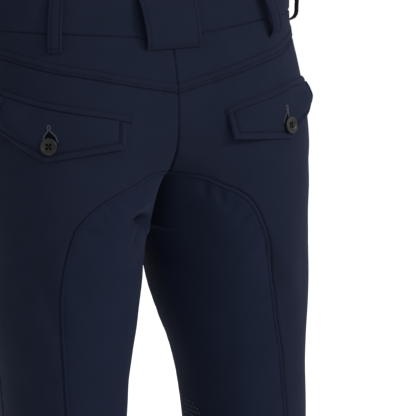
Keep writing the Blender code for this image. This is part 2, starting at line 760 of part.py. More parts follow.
def build_button(name, place):
    """A turned disc with a raised rim and a dished face, drilled with four holes."""
    rim, thick = BUTTON_RIM, BUTTON_THICKNESS
    dish = thick * 0.30
    profile = (
        (0.0, thick - dish),
        (BUTTON_RADIUS - rim * 2.2, thick - dish),
        (BUTTON_RADIUS - rim * 1.4, thick - dish * 0.2),
        (BUTTON_RADIUS - rim * 0.8, thick),
        (BUTTON_RADIUS - rim * 0.2, thick * 0.88),
        (BUTTON_RADIUS, thick * 0.62),
        (BUTTON_RADIUS - rim * 0.5, thick * 0.22),
        (BUTTON_RADIUS - rim * 2.0, 0.0),
        (0.0, 0.0),
    )
    mesh = bpy.data.meshes.new(name)
    mesh.from_pydata([(x, 0, z) for x, z in profile], [(i, i + 1) for i in range(len(profile) - 1)], [])
    made = add_object(name, mesh, DARK_PLASTIC)
    screw = made.modifiers.new("turn", "SCREW")
    screw.steps = screw.render_steps = BUTTON_STEPS
    screw.use_merge_vertices = True
    screw.merge_threshold = 1e-5
    screw.use_normal_calculate = True

    holes = bmesh.new()
    for corner in range(4):
        angle = math.pi / 4 + corner * math.pi / 2
        offset = Vector((math.cos(angle), math.sin(angle), 0)) * BUTTON_HOLE_OFFSET
        bmesh.ops.create_cone(
            holes, cap_ends=True, segments=10, radius1=BUTTON_HOLE_RADIUS, radius2=BUTTON_HOLE_RADIUS,
            depth=thick * 3, matrix=Matrix.Translation(offset + Vector((0, 0, thick / 2))),
        )
    mesh = bpy.data.meshes.new(f"{name}_holes")
    holes.to_mesh(mesh)
    holes.free()
    cutter = bpy.data.objects.new(f"{name}_holes", mesh)
    cutter.hide_render = True
    cutter.display_type = "WIRE"
    CUTTERS.objects.link(cutter)
    drill = made.modifiers.new("drill", "BOOLEAN")
    drill.operation = "DIFFERENCE"
    drill.solver = "EXACT"
    drill.object = cutter
    made.matrix_world = cutter.matrix_world = place


def build_buttons():
    for name, sign in SIDES.items():
        along = FLAP_BUTTON_ALONG[name]
        stand = float(pocket_stand(along, FLAP_BUTTON_Z, name)) + REST_GAP * 2 + FLAP_WALL
        build_button(f"button_flap_{name}", frame_at(along, FLAP_BUTTON_Z, sign, stand))
    z = float(band_seam(-2.0)) + BAND_HEIGHT / 2
    normal = Vector(mirrored(normals_at(TAB_MIDDLE_G, z), RIGHT))
    place = Vector(mirrored(half_surface(TAB_MIDDLE_G, z), RIGHT)) + normal * (TAB_LIFT + REST_GAP)
    turned = normal.to_track_quat("Z", "Y").to_matrix().to_4x4()
    build_button("waist_button", Matrix.Translation(place) @ turned)


def loop_sheet(along, half_width, below, bow, profile):
    """A strip sewn down at the top of the band and below its seam, bowed out between.

    along and half_width each hold a value for the top and one for the bottom.
    """
    down = column(LOOP_PROFILE, LOOP_PROFILE_COLUMNS, "down")
    stand = column(LOOP_PROFILE, LOOP_PROFILE_COLUMNS, profile) * bow
    middle, width = ((pair[0] + (pair[1] - pair[0]) * down)[:, None] for pair in (along, half_width))
    seam = float(band_seam(float(g_along(along[1], band_seam(1.0)))))
    top, bottom = seam + BAND_HEIGHT - LOOP_TOP, seam - below
    run = middle + np.linspace(-1, 1, LOOP_COLUMNS) * width
    z = np.broadcast_to((top + (bottom - top) * down)[:, None], run.shape)
    g = g_along(np.abs(run), z)
    points, normal = half_surface(g, z), normals_at(g, z)
    points[..., 0] *= np.where(run < 0, -1, 1)
    normal[..., 0] *= np.where(run < 0, -1, 1)
    return points + normal * (REST_GAP + stand)[:, None, None]


def build_loops():
    widths = (PATCH_TOP_WIDTH / 2, PATCH_BOTTOM_WIDTH / 2)
    strip = loop_sheet((0.0, 0.0), widths, PATCH_BELOW_SEAM, PATCH_BOW, "patch")
    add_sheet("loop_center_back", strip, PATCH_WALL, -1)
    for place, name, along_top, along_bottom, below, bow in LOOPS:
        widths = (LOOP_WIDTH / 2, LOOP_WIDTH / 2)
        strip = loop_sheet((along_top, along_bottom), widths, below, bow, place)
        add_sheet(f"loop_{place}_{name}", mirrored(strip, SIDES[name]), LOOP_WALL, -SIDES[name])


def build_fly_shield():
    """The underlap behind the centre-front opening, made from the front panels' own points."""
    grid = front_grid()[: FLY_SHIELD_ROWS + 1, -2:]
    points, normal = half_surface(grid[..., 0], grid[..., 1]), normals_at(grid[..., 0], grid[..., 1])
    centre, beside = points[:, 1:], points[:, :1]
    edge = centre + (beside - centre) * FLY_SHIELD_WIDTH / 2 / beside[..., :1]
    inwards = normal[:, 1:] * np.array([0, 1, 1])
    left, middle = (line - inwards * (WALL + FLY_SHIELD_GAP) for line in (edge, centre))
    points = np.concatenate([mirrored(left, RIGHT), middle, left], axis=1)
    points[0, :, 2] -= SEAM_GAP
    add_sheet("fly_shield", points, FLY_SHIELD_WALL, -1)


def main():
    build_panels()
    build_waistband()
    build_pockets()
    build_buttons()
    build_loops()
    build_fly_shield()


for old in list(bpy.data.objects):
    bpy.data.objects.remove(old, do_unlink=True)
PARTS = bpy.data.collections.new("riding_breeches")
CUTTERS = bpy.data.collections.new("cutters")
for group in (PARTS, CUTTERS):
    bpy.context.scene.collection.children.link(group)
main()
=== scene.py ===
"""Looks of the riding breeches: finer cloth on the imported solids, with sewing, buttons, light and camera.

The cloth repeats the part's own surface: g runs round a section from -2 (centre front, or the inside of
the leg) by 0 (side) to 2 (centre back, or the inside of the leg again), and z runs down.
"""

import math

import bmesh
import bpy
import numpy as np
from mathutils import Matrix, Vector
from mathutils.bvhtree import BVHTree
from mathutils.kdtree import KDTree


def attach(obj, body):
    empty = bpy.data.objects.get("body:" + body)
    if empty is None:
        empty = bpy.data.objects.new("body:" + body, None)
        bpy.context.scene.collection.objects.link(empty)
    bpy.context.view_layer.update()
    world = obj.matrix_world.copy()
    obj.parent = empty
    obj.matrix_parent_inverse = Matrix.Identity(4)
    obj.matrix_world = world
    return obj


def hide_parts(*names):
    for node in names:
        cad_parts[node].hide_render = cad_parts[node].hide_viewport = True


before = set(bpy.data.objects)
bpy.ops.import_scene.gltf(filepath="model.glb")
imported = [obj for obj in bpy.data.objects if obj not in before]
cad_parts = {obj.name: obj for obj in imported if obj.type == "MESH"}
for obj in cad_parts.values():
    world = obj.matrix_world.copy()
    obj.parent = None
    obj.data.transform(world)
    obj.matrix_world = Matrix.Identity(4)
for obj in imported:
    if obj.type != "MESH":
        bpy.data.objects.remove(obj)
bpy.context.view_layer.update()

# ------------------------------------------------------------------ sizes, as in the part's source
WALL = 0.0016
BAND_WALL = 0.0022
FLAP_WALL = 0.0018
LOOP_WALL = 0.0020
WELT_WALL = 0.0016
PATCH_WALL = 0.0024
SEAM_GAP = 0.0001
REST_GAP = 0.0003
BAND_HEIGHT = 0.045
CROTCH_Z = -0.218
HEM_Z = -0.875
ROUNDNESS = 2.15

SECTION_COLUMNS = "z x_side y_side x_front y_front x_back y_back y_inner"
SECTIONS = (
    (0.034, 0.1705, -0.006, 0.030, -0.103, 0.026, 0.080, -0.010),
    (0.000, 0.1630, -0.006, 0.032, -0.105, 0.030, 0.0925, -0.010),
    (-0.023, 0.1608, -0.006, 0.036, -0.107, 0.034, 0.102, -0.010),
    (-0.060, 0.1650, -0.006, 0.044, -0.111, 0.046, 0.1115, -0.009),
    (-0.100, 0.1705, -0.004, 0.056, -0.113, 0.062, 0.1150, -0.008),
    (-0.140, 0.1722, -0.001, 0.070, -0.111, 0.075, 0.1165, -0.006),
    (-0.180, 0.1694, 0.002, 0.080, -0.106, 0.082, 0.1155, -0.004),
    (-0.218, 0.1666, 0.005, 0.084, -0.099, 0.084, 0.1110, -0.004),
    (-0.240, 0.1660, 0.007, 0.087, -0.094, 0.087, 0.1083, -0.005),
    (-0.280, 0.1656, 0.010, 0.090, -0.086, 0.090, 0.1040, -0.006),
    (-0.350, 0.1597, 0.015, 0.094, -0.070, 0.094, 0.0980, 0.013),
    (-0.430, 0.1566, 0.020, 0.097, -0.055, 0.097, 0.0940, 0.018),
    (-0.500, 0.1510, 0.018, 0.095, -0.052, 0.095, 0.0820, 0.016),
    (-0.560, 0.1440, 0.012, 0.092, -0.050, 0.092, 0.0700, 0.010),
    (-0.620, 0.1390, 0.014, 0.089, -0.042, 0.089, 0.0700, 0.014),
    (-0.680, 0.1400, 0.022, 0.088, -0.034, 0.088, 0.0810, 0.024),
    (-0.760, 0.1310, 0.020, 0.085, -0.028, 0.085, 0.0700, 0.022),
    (-0.830, 0.1215, 0.014, 0.082, -0.026, 0.082, 0.0550, 0.014),
    (-0.880, 0.1180, 0.012, 0.081, -0.026, 0.081, 0.0500, 0.012),
)
CENTRE_COLUMNS = "z y_back y_front"
CENTRE_SEAM = (
    (0.034, 0.0800, -0.1030),
    (0.000, 0.0925, -0.1050),
    (-0.023, 0.1020, -0.1070),
    (-0.060, 0.1115, -0.1110),
    (-0.100, 0.1135, -0.1129),
    (-0.120, 0.1102, -0.1117),
    (-0.135, 0.1032, -0.1098),
    (-0.150, 0.0888, -0.1064),
    (-0.165, 0.0714, -0.1006),
    (-0.180, 0.0534, -0.0910),
    (-0.195, 0.0370, -0.0750),
    (-0.205, 0.0245, -0.0580),
    (-0.212, 0.0130, -0.0390),
    (-0.218, -0.0040, -0.0040),
)
INNER_COLUMNS = "z x_inner"
INSIDE_LEG = (
    (-0.218, 0.0000),
    (-0.222, 0.0024),
    (-0.232, 0.0044),
    (-0.248, 0.0060),
    (-0.262, 0.0075),
    (-0.275, 0.0098),
    (-0.300, 0.0148),
    (-0.325, 0.0212),
    (-0.350, 0.0280),
    (-0.390, 0.0340),
    (-0.430, 0.0368),
    (-0.500, 0.0384),
    (-0.560, 0.0380),
    (-0.620, 0.0375),
    (-0.680, 0.0345),
    (-0.760, 0.0385),
    (-0.830, 0.0425),
    (-0.880, 0.0435),
)
BAND_SEAM_COLUMNS = "g z"
BAND_SEAM = (
    (-2.0, -0.0180),
    (-1.0, -0.0165),
    (0.0, -0.0125),
    (0.4, -0.0130),
    (0.8, -0.0170),
    (1.0, -0.0205),
    (2.0, -0.0225),
)
YOKE_SEAM_COLUMNS = "along z"
YOKE_SEAM = (
    (0.000, -0.0755),
    (0.035, -0.0680),
    (0.065, -0.0610),
    (0.093, -0.0548),
    (0.119, -0.0503),
    (0.144, -0.0445),
    (0.169, -0.0392),
    (0.240, -0.0290),
)
SEAT_ARC_COLUMNS = "x_left z_left x_right z_right"
SEAT_ARC = (
    (0.0000, -0.1540, 0.0000, -0.1540),
    (0.0246, -0.1520, 0.0270, -0.1587),
    (0.0465, -0.1593, 0.0478, -0.1688),
    (0.0652, -0.1657, 0.0609, -0.1751),
    (0.0830, -0.1742, 0.0726, -0.1850),
    (0.0970, -0.1842, 0.0810, -0.1976),
    (0.1070, -0.1960, 0.0870, -0.2105),
)
SEAT_SIDE_COLUMNS = "z x_left x_right"
SEAT_SIDE = (
    (-0.196, 0.1070, 0.0790),
    (-0.2105, 0.1118, 0.0870),
    (-0.228, 0.1160, 0.0935),
    (-0.248, 0.1195, 0.0963),
    (-0.264, 0.1212, 0.0976),
    (-0.284, 0.1215, 0.1003),
    (-0.310, 0.1210, 0.1030),
    (-0.336, 0.1198, 0.1077),
    (-0.378, 0.1185, 0.1110),
    (-0.410, 0.1178, 0.1130),
    (-0.500, 0.1130, 0.1110),
    (-0.560, 0.1080, 0.1080),
    (-0.620, 0.1050, 0.1050),
    (-0.680, 0.1050, 0.1050),
    (-0.760, 0.1010, 0.1010),
    (-0.830, 0.0960, 0.0960),
    (-0.875, 0.0940, 0.0940),
)
INNER_SEAM_COLUMNS = "z wrap"
INNER_SEAM = (
    (-0.218, 0.00),
    (-0.240, 0.06),
    (-0.280, 0.14),
    (-0.350, 0.24),
    (-0.450, 0.30),
    (-0.880, 0.30),
)
# side g_start z_start g_end z_end width depth
FOLDS = (
    ("left", 0.46, -0.200, 0.73, -0.305, 0.022, -0.0024),
    ("left", 0.64, -0.212, 0.90, -0.300, 0.020, 0.0012),
    ("right", 0.99, -0.216, 0.92, -0.295, 0.018, -0.0020),
    ("right", 0.84, -0.225, 0.76, -0.300, 0.018, 0.0016),
    ("left", 1.30, -0.222, 1.62, -0.212, 0.016, -0.0022),
    ("right", 1.24, -0.230, 1.60, -0.216, 0.016, -0.0018),
    ("left", -1.72, -0.208, -0.90, -0.168, 0.020, -0.0024),
    ("right", -1.76, -0.212, -0.82, -0.176, 0.019, -0.0022),
    ("left", -1.66, -0.246, -0.70, -0.232, 0.018, -0.0018),
    ("right", -1.60, -0.252, -0.84, -0.226, 0.020, -0.0020),
    ("left", 0.52, -0.540, 1.55, -0.566, 0.020, -0.0028),
    ("right", 0.60, -0.550, 1.62, -0.560, 0.019, -0.0026),
    ("left", 0.72, -0.604, 1.48, -0.592, 0.018, -0.0020),
    ("right", 0.56, -0.598, 1.40, -0.606, 0.018, -0.0022),
    ("left", -1.20, -0.806, 0.70, -0.830, 0.017, -0.0018),
    ("right", -1.30, -0.826, 0.50, -0.808, 0.017, -0.0018),
)
FOLD_STEPS = 25
FOLD_CLEAR_OF_CENTRE = 0.030

BACK_COLUMNS = 12
FRONT_COLUMNS = 12
YOKE_ROWS = 3
SIDE_ROWS = 26
CENTRE_BACK_ROWS = 7
CENTRE_FRONT_ROWS = 10
INNER_ROWS = 19
BACK_ACROSS = 7
CROTCH_CROWDING = 1.5
CROTCH_REACH = 0.050

TAB_LENGTH = 0.036
TAB_RISE_LENGTH = 0.040
TAB_LIFT = BAND_WALL + 0.0003

WELT_COLUMNS = "along z_top z_bottom drop_right"
WELT = (
    (0.0475, -0.0948, -0.1003, 0.0000),
    (0.0660, -0.0890, -0.0950, 0.0000),
    (0.0870, -0.0847, -0.0908, 0.0000),
    (0.1100, -0.0806, -0.0866, 0.0000),
    (0.1350, -0.0762, -0.0817, 0.0005),
    (0.1520, -0.0723, -0.0780, 0.0050),
    (0.1780, -0.0664, -0.0724, 0.0105),
)
FLAP_COLUMNS = "along_left z_left along_right z_right"
FLAP_EDGE = (
    (0.0576, -0.1222, 0.0518, -0.1222),
    (0.0915, -0.1262, 0.0800, -0.1254),
    (0.1190, -0.1298, 0.1020, -0.1278),
    (0.1335, -0.1322, 0.1220, -0.1297),
    (0.1480, -0.1250, 0.1400, -0.1205),
    (0.1820, -0.1058, 0.1780, -0.1080),
)
FLAP_TOP_START = {"left": 0.0540, "right": 0.0490}
FLAP_TOP_GAP = 0.0002
FLAP_SAG_LIFT = 0.0006
FLAP_INNER_LIFT = {"left": 0.0030, "right": 0.0080}
FLAP_INNER_REACH = (0.055, 0.105)
POCKET_OUTER_LIFT = {"left": 0.0080, "right": 0.0055}
POCKET_OUTER_SAG = 1.3
POCKET_OUTER_REACH = (0.130, 0.172)
FLAP_BUTTON_ALONG = {"left": 0.1283, "right": 0.1190}
FLAP_BUTTON_Z = -0.1172

BUTTON_RADIUS = 0.0088
BUTTON_THICKNESS = 0.0030
BUTTON_RIM = 0.0014
BUTTON_HOLE_RADIUS = 0.0013
BUTTON_TRIM = 0.0006      # rounded off the plain disc
BUTTON_HOLE_OFFSET = 0.0026

LOOP_WIDTH = 0.0130
# place side along_top along_bottom below_seam bow
LOOPS = (
    ("back", "left", 0.1026, 0.1145, 0.0180, 0.0045),
    ("back", "right", 0.1026, 0.1145, 0.0180, 0.0100),
    ("side", "left", 0.1945, 0.1935, 0.0117, 0.0084),
    ("side", "right", 0.1945, 0.1935, 0.0117, 0.0084),
    ("front", "left", 0.3300, 0.3300, 0.0180, 0.0062),
    ("front", "right", 0.3300, 0.3300, 0.0180, 0.0062),
)
LOOP_PROFILE_COLUMNS = "down patch back side front"
LOOP_PROFILE = (
    (0.000, 0.00, 0.00, 0.00, 0.00),
    (0.070, 0.10, 0.08, 0.10, 0.10),
    (0.160, 0.45, 0.22, 0.30, 0.45),
    (0.300, 0.85, 0.50, 0.66, 0.85),
    (0.460, 1.00, 0.86, 0.92, 1.00),
    (0.620, 1.00, 1.00, 1.00, 1.00),
    (0.760, 0.92, 0.96, 0.96, 0.92),
    (0.870, 0.72, 0.82, 0.90, 0.72),
    (0.940, 0.45, 0.58, 0.70, 0.45),
    (0.975, 0.18, 0.30, 0.42, 0.18),
    (1.000, 0.00, 0.00, 0.00, 0.00),
)
PATCH_TOP_WIDTH = 0.0580
PATCH_BOTTOM_WIDTH = 0.0545
PATCH_BELOW_SEAM = 0.0115
PATCH_BOW = 0.0075

SIDES = {"left": 1, "right": -1}

# ------------------------------------------------------------------ the finer cloth
FINE = 40                # points of a border for each one of the part's
STEP = 0.0040            # of the cloth's grid away from seams
EDGE_STEPS = (
    0.0, 0.0005, 0.0011, 0.0018, 0.0026, 0.0034, 0.0042, 0.0050, 0.0058, 0.0067, 0.0078, 0.0094, 0.0120,
)

# Small creases.  They are lines on the surface: depth is below 0 for a trough and above 0 for a ridge
CREASES = (
    # under the seat, from the crotch outwards
    ("left", 1.72, -0.196, 1.46, -0.189, 0.0070, -0.0022),
    ("left", 1.66, -0.206, 1.30, -0.207, 0.0080, 0.0010),
    ("left", 1.70, -0.226, 1.36, -0.245, 0.0090, -0.0014),
    ("left", 1.78, -0.240, 1.52, -0.275, 0.0080, -0.0011),
    ("right", 1.74, -0.192, 1.52, -0.198, 0.0070, -0.0018),
    ("right", 1.70, -0.214, 1.40, -0.222, 0.0090, -0.0012),
    ("right", 1.80, -0.238, 1.46, -0.262, 0.0080, -0.0014),
    ("right", 1.62, -0.178, 1.38, -0.186, 0.0080, 0.0007),
    # puckers inside the seat seam
    ("left", 1.08, -0.178, 1.16, -0.187, 0.0035, -0.0021),
    ("left", 0.98, -0.184, 1.06, -0.193, 0.0035, -0.0017),
    ("left", 1.22, -0.172, 1.30, -0.178, 0.0032, -0.0013),
    ("left", 0.90, -0.199, 1.00, -0.206, 0.0040, -0.0015),
    ("right", 1.58, -0.164, 1.54, -0.178, 0.0040, -0.0019),
    ("right", 1.42, -0.173, 1.36, -0.186, 0.0038, -0.0017),
    ("right", 1.24, -0.184, 1.30, -0.196, 0.0036, -0.0021),
    ("right", 1.10, -0.196, 1.20, -0.208, 0.0036, -0.0023),
    ("right", 1.02, -0.214, 1.12, -0.224, 0.0040, -0.0019),
    ("right", 0.99, -0.238, 1.08, -0.248, 0.0045, -0.0015),
    # thigh
    ("left", 0.84, -0.246, 1.02, -0.292, 0.0090, -0.0009),
    ("left", 0.94, -0.300, 1.10, -0.352, 0.0100, -0.0007),
    ("left", 0.30, -0.252, 0.56, -0.330, 0.0110, -0.0009),
    ("left", 0.76, -0.330, 0.84, -0.420, 0.0110, 0.0007),
    ("right", 0.90, -0.262, 0.84, -0.330, 0.0080, -0.0008),
    ("right", 0.62, -0.240, 0.56, -0.318, 0.0110, -0.0007),
    ("right", 1.30, -0.300, 1.42, -0.380, 0.0120, -0.0006),
    ("left", 0.480, -0.214, 0.600, -0.256, 0.0075, -0.0022),
    ("left", 0.590, -0.250, 0.715, -0.296, 0.0090, -0.0018),
    ("right", 0.985, -0.224, 0.925, -0.276, 0.0065, -0.0020),
    ("right", 0.885, -0.232, 0.800, -0.274, 0.0075, 0.0014),
    # behind and beside the knee
    ("left", 0.80, -0.520, 1.62, -0.530, 0.0100, -0.0013),
    ("left", 0.66, -0.578, 1.40, -0.584, 0.0080, -0.0016),
    ("left", 1.20, -0.548, 1.86, -0.560, 0.0080, -0.0010),
    ("left", 0.10, -0.566, 0.72, -0.552, 0.0090, -0.0009),
    ("left", 1.06, -0.620, 1.76, -0.636, 0.0090, -0.0009),
    ("right", 0.70, -0.528, 1.44, -0.514, 0.0100, -0.0012),
    ("right", 0.92, -0.572, 1.70, -0.586, 0.0080, -0.0015),
    ("right", 0.20, -0.548, 0.90, -0.562, 0.0090, -0.0010),
    ("right", 1.16, -0.606, 1.84, -0.622, 0.0085, -0.0011),
    ("right", 0.46, -0.630, 1.02, -0.618, 0.0090, -0.0008),
    # front of the knee
    ("left", -1.50, -0.520, -0.90, -0.498, 0.0110, -0.0008),
    ("right", -1.62, -0.506, -1.02, -0.528, 0.0110, -0.0008),
    ("left", -0.70, -0.584, -1.40, -0.602, 0.0110, -0.0006),
    ("right", -0.60, -0.596, -1.30, -0.580, 0.0110, -0.0007),
    # front of the hips, from the crotch
    ("left", -1.84, -0.196, -1.30, -0.160, 0.0085, -0.0016),
    ("left", -1.80, -0.222, -1.16, -0.204, 0.0080, -0.0014),
    ("left", -1.90, -0.176, -1.60, -0.140, 0.0080, -0.0011),
    ("left", -1.74, -0.262, -1.22, -0.282, 0.0090, -0.0009),
    ("right", -1.86, -0.200, -1.24, -0.170, 0.0085, -0.0015),
    ("right", -1.78, -0.228, -1.10, -0.214, 0.0080, -0.0013),
    ("right", -1.92, -0.170, -1.68, -0.132, 0.0080, -0.0010),
    ("right", -1.70, -0.256, -1.26, -0.290, 0.0095, -0.0009),
    # above the ankle
    ("left", -1.60, -0.836, -0.20, -0.850, 0.0080, -0.0012),
    ("left", 0.30, -0.822, 1.60, -0.838, 0.0080, -0.0013),
    ("left", 0.90, -0.786, 1.90, -0.794, 0.0090, -0.0010),
    ("left", -0.80, -0.774, 0.40, -0.784, 0.0100, -0.0008),
    ("right", -1.50, -0.846, -0.10, -0.838, 0.0080, -0.0012),
    ("right", 0.40, -0.840, 1.70, -0.824, 0.0080, -0.0012),
    ("right", 0.70, -0.792, 1.80, -0.780, 0.0090, -0.0009),
    ("right", -1.00, -0.770, 0.20, -0.780, 0.0100, -0.0008),
    # pull at the pockets and the side
    ("left", 1.52, -0.128, 1.30, -0.142, 0.0090, -0.0006),
    ("right", 1.48, -0.132, 1.22, -0.140, 0.0090, -0.0006),
    ("right", 0.24, -0.150, 0.52, -0.176, 0.0100, -0.0008),
    ("left", 0.16, -0.146, 0.44, -0.170, 0.0100, -0.0008),
    ("right", 1.70, -0.100, 1.46, -0.092, 0.0080, -0.0006),
)

# Deep folds where the seat goes in under itself, beside the crotch.  They fade out just short of the centre
HOLLOWS = (
    ("left", 1.68, -0.2055, 1.47, -0.1980, 0.0056, -0.0175),
    ("left", 1.46, -0.1990, 1.30, -0.1950, 0.0060, -0.0040),
    ("left", 1.46, -0.2040, 1.34, -0.2200, 0.0065, -0.0030),
    ("left", 1.62, -0.1830, 1.42, -0.1800, 0.0085, 0.0022),
    ("left", -1.74, -0.2060, -1.50, -0.1960, 0.0060, -0.0045),
    ("right", -1.76, -0.2070, -1.52, -0.1990, 0.0060, -0.0040),
)
HOLLOW_CLEAR = (0.0010, 0.0080)      # x over which they come in

# The cleft along the centre seam under the seat
CLEFT_DEPTH = 0.0125
CLEFT_WIDTH = 0.0050
CLEFT_RANGE = (-0.1500, -0.1760, -0.2100, -0.2170)

# Slow undulation of the cloth: length of a wave, height and direction
WAVES = (
    (0.083, 0.00022, (0.70, 0.20, 0.68)),
    (0.061, 0.00018, (-0.30, 0.90, 0.31)),
    (0.047, 0.00014, (0.85, -0.45, 0.27)),
    (0.038, 0.00011, (0.15, 0.35, -0.92)),
    (0.029, 0.00008, (-0.62, -0.30, 0.72)),
)

# Sewing
DITCH_DEPTH = 0.0015     # the cloth turns in at a seam
DITCH_WIDTH = 0.0012
SINK_DEPTH = 0.00075     # under a row of stitches
SINK_WIDTH = 0.0011
STITCH_PITCH = 0.0031
STITCH_LENGTH = 0.0024
STITCH_RADIUS = 0.00026
FLAP_GROOVE = 0.0017
HATCH_PITCH = 0.00185
HATCH_HEIGHT = 0.00042
HATCH_REACH = 0.0019
# start end offset, along the yoke seam from the centre back, and up from it
HATCH = (
    (0.003, 0.022, 0.0006),
    (0.022, 0.032, 0.0090),
    (0.033, 0.041, 0.0084),
    (0.047, 0.058, 0.0088),
    (0.066, 0.082, 0.0090),
    (0.068, 0.080, 0.0032),
)
PUCKER_DEPTH = 0.00030
PUCKER_REACH = 0.0090
EDGE_ROUND = 0.00045
EDGE_ROUND_WIDTH = 0.0007


def curve_through(knots, values):
    order = np.argsort(knots)
    knots = np.asarray(knots, float)[order]
    values = np.asarray(values, float)[order]
    slopes = np.gradient(values, knots)

    def at(where):
        where = np.asarray(where, float)
        i = np.clip(np.searchsorted(knots, where) - 1, 0, len(knots) - 2)
        span = knots[i + 1] - knots[i]
        s = np.clip((where - knots[i]) / span, 0.0, 1.0)
        return (
            values[i] * (1 + 2 * s) * (1 - s) ** 2
            + slopes[i] * span * s * (1 - s) ** 2
            + values[i + 1] * s**2 * (3 - 2 * s)
            - slopes[i + 1] * span * s**2 * (1 - s)
        )

    return at


def column(table, columns, name):
    return np.array(table)[:, columns.split().index(name)]


def table_curve(table, columns, name, by):
    return curve_through(column(table, columns, by), column(table, columns, name))


SECTION = {
    name: table_curve(SECTIONS, SECTION_COLUMNS, name, "z") for name in SECTION_COLUMNS.split()[1:]
}
CENTRE = {
    name: curve_through(
        np.sqrt(column(CENTRE_SEAM, CENTRE_COLUMNS, "z") - CROTCH_Z),
        column(CENTRE_SEAM, CENTRE_COLUMNS, name),
    )
    for name in ("y_back", "y_front")
}
X_INNER = curve_through(
    np.sqrt(CROTCH_Z - column(INSIDE_LEG, INNER_COLUMNS, "z")), column(INSIDE_LEG, INNER_COLUMNS, "x_inner")
)


def half_surface(g, z):
    """The outer face of the left half at g and z."""
    g, z = np.broadcast_arrays(np.asarray(g, float), np.asarray(z, float))
    g = np.where(g > 2, np.where(z < CROTCH_Z, g - 4, 2.0), g)
    above = z >= CROTCH_Z
    back = g >= 0
    x_end = np.where(back, SECTION["x_back"](z), SECTION["x_front"](z))
    y_end = np.where(back, SECTION["y_back"](z), SECTION["y_front"](z))
    x_side, y_side, y_inner = (SECTION[name](z) for name in ("x_side", "y_side", "y_inner"))
    rise = np.sqrt(np.maximum(z - CROTCH_Z, 0))
    y_centre = np.where(back, CENTRE["y_back"](rise), CENTRE["y_front"](rise))
    x_inner = np.where(above, 0.0, X_INNER(np.sqrt(np.maximum(CROTCH_Z - z, 0))))

    turn = np.clip(np.abs(g), 0, 1) * math.pi / 2
    power = 2 / ROUNDNESS
    x_outer = x_end + (x_side - x_end) * np.cos(turn) ** power
    y_outer = y_side + (y_end - y_side) * np.sin(turn) ** power

    share = np.clip((y_centre - y_inner) / (y_end - y_inner), 0.0, 0.9999)
    last = np.where(above, np.arccos(share), math.pi / 2)
    width = np.where(above, x_end / np.sin(last), x_end - x_inner)
    turn = np.clip(np.abs(g) - 1, 0, 1) * last
    x_arc = x_end - width * np.sin(turn)
    y_arc = y_inner + (y_end - y_inner) * np.cos(turn)
    inner = np.abs(g) > 1
    return np.stack([np.where(inner, x_arc, x_outer), np.where(inner, y_arc, y_outer), z], axis=-1)


def normals_at(g, z):
    step_g, step_z = 2e-3, 2e-4
    g, z = np.broadcast_arrays(np.asarray(g, float), np.asarray(z, float))
    wraps = z < CROTCH_Z
    high = np.where(wraps, g + step_g, np.minimum(g + step_g, 2))
    low = np.maximum(g - step_g, -2)
    along = half_surface(high, z) - half_surface(low, z)
    down = half_surface(g, z - step_z) - half_surface(g, z + step_z)
    normal = np.cross(down, along)
    normal /= np.maximum(np.linalg.norm(normal, axis=-1, keepdims=True), 1e-12)
    at_crotch = (np.abs(np.abs(g) - 2) < 1e-6) & (np.abs(z - CROTCH_Z) < 5e-4)
    normal[at_crotch] = (0, 0, -1)
    return normal


def smooth_step(t):
    t = np.clip(t, 0, 1)
    return t * t * (3 - 2 * t)


def fold_height(points, side_name, table):
    """How far a table of folds moves the cloth out at points of the left half."""
    height = np.zeros(points.shape[:-1])
    t = np.linspace(0, 1, FOLD_STEPS)
    for side, g_start, z_start, g_end, z_end, width, depth in table:
        if side != side_name:
            continue
        line = half_surface(g_start + (g_end - g_start) * t, z_start + (z_end - z_start) * t)
        low, high = line.min(0) - 3 * width, line.max(0) + 3 * width
        near = ((points > low) & (points < high)).all(-1)
        if not near.any():
            continue
        away = np.linalg.norm(points[near][:, None, :] - line, axis=-1)
        swell = np.sqrt(np.sin(math.pi * (0.06 + 0.88 * t)))[away.argmin(axis=-1)]
        height[near] += depth * swell * np.exp(-((away.min(axis=-1) / width) ** 2))
    return height


def cloth_height(points, side_name):
    """Folds, creases and slow waves together.  They fade out at the centre seam."""
    fade = smooth_step(points[..., 0] / FOLD_CLEAR_OF_CENTRE)
    height = fold_height(points, side_name, FOLDS) * fade
    near_centre = smooth_step((points[..., 0] - 0.003) / 0.012)
    height += fold_height(points, side_name, CREASES) * near_centre
    start, end = HOLLOW_CLEAR
    height += fold_height(points, side_name, HOLLOWS) * smooth_step((points[..., 0] - start) / (end - start))
    for length, size, direction in WAVES:
        turned = points @ (np.array(direction) * 2 * math.pi / length)
        height += size * np.sin(turned + (1.3 if side_name == "left" else 3.1)) * fade
    return height


def cleft(points):
    """The move of the cloth into the cleft, the same on both halves where they meet."""
    z = points[..., 2]
    starts, full, still_full, ends = CLEFT_RANGE
    share = smooth_step((starts - z) / (starts - full)) * smooth_step((z - ends) / (still_full - ends))
    share = share * np.exp(-((points[..., 0] / CLEFT_WIDTH) ** 2)) * (points[..., 1] > 0)
    at_seam = normals_at(np.full(z.shape, 2.0), z)
    at_seam[..., 0] = 0
    at_seam /= np.maximum(np.linalg.norm(at_seam, axis=-1, keepdims=True), 1e-9)
    return -CLEFT_DEPTH * share[..., None] * at_seam


def mirrored(points, side):
    return points * np.array([side, 1, 1])


GIRTH_G = np.linspace(2, -2, 801)


def g_along(distance, z):
    distance, z = np.broadcast_arrays(np.asarray(distance, float), np.asarray(z, float))
    found = np.empty(distance.shape)
    for index in np.ndindex(distance.shape):
        ring = half_surface(GIRTH_G, z[index])
        run = np.concatenate([[0], np.cumsum(np.linalg.norm(np.diff(ring, axis=0), axis=1))])
        found[index] = np.interp(distance[index], run, GIRTH_G)
    return found


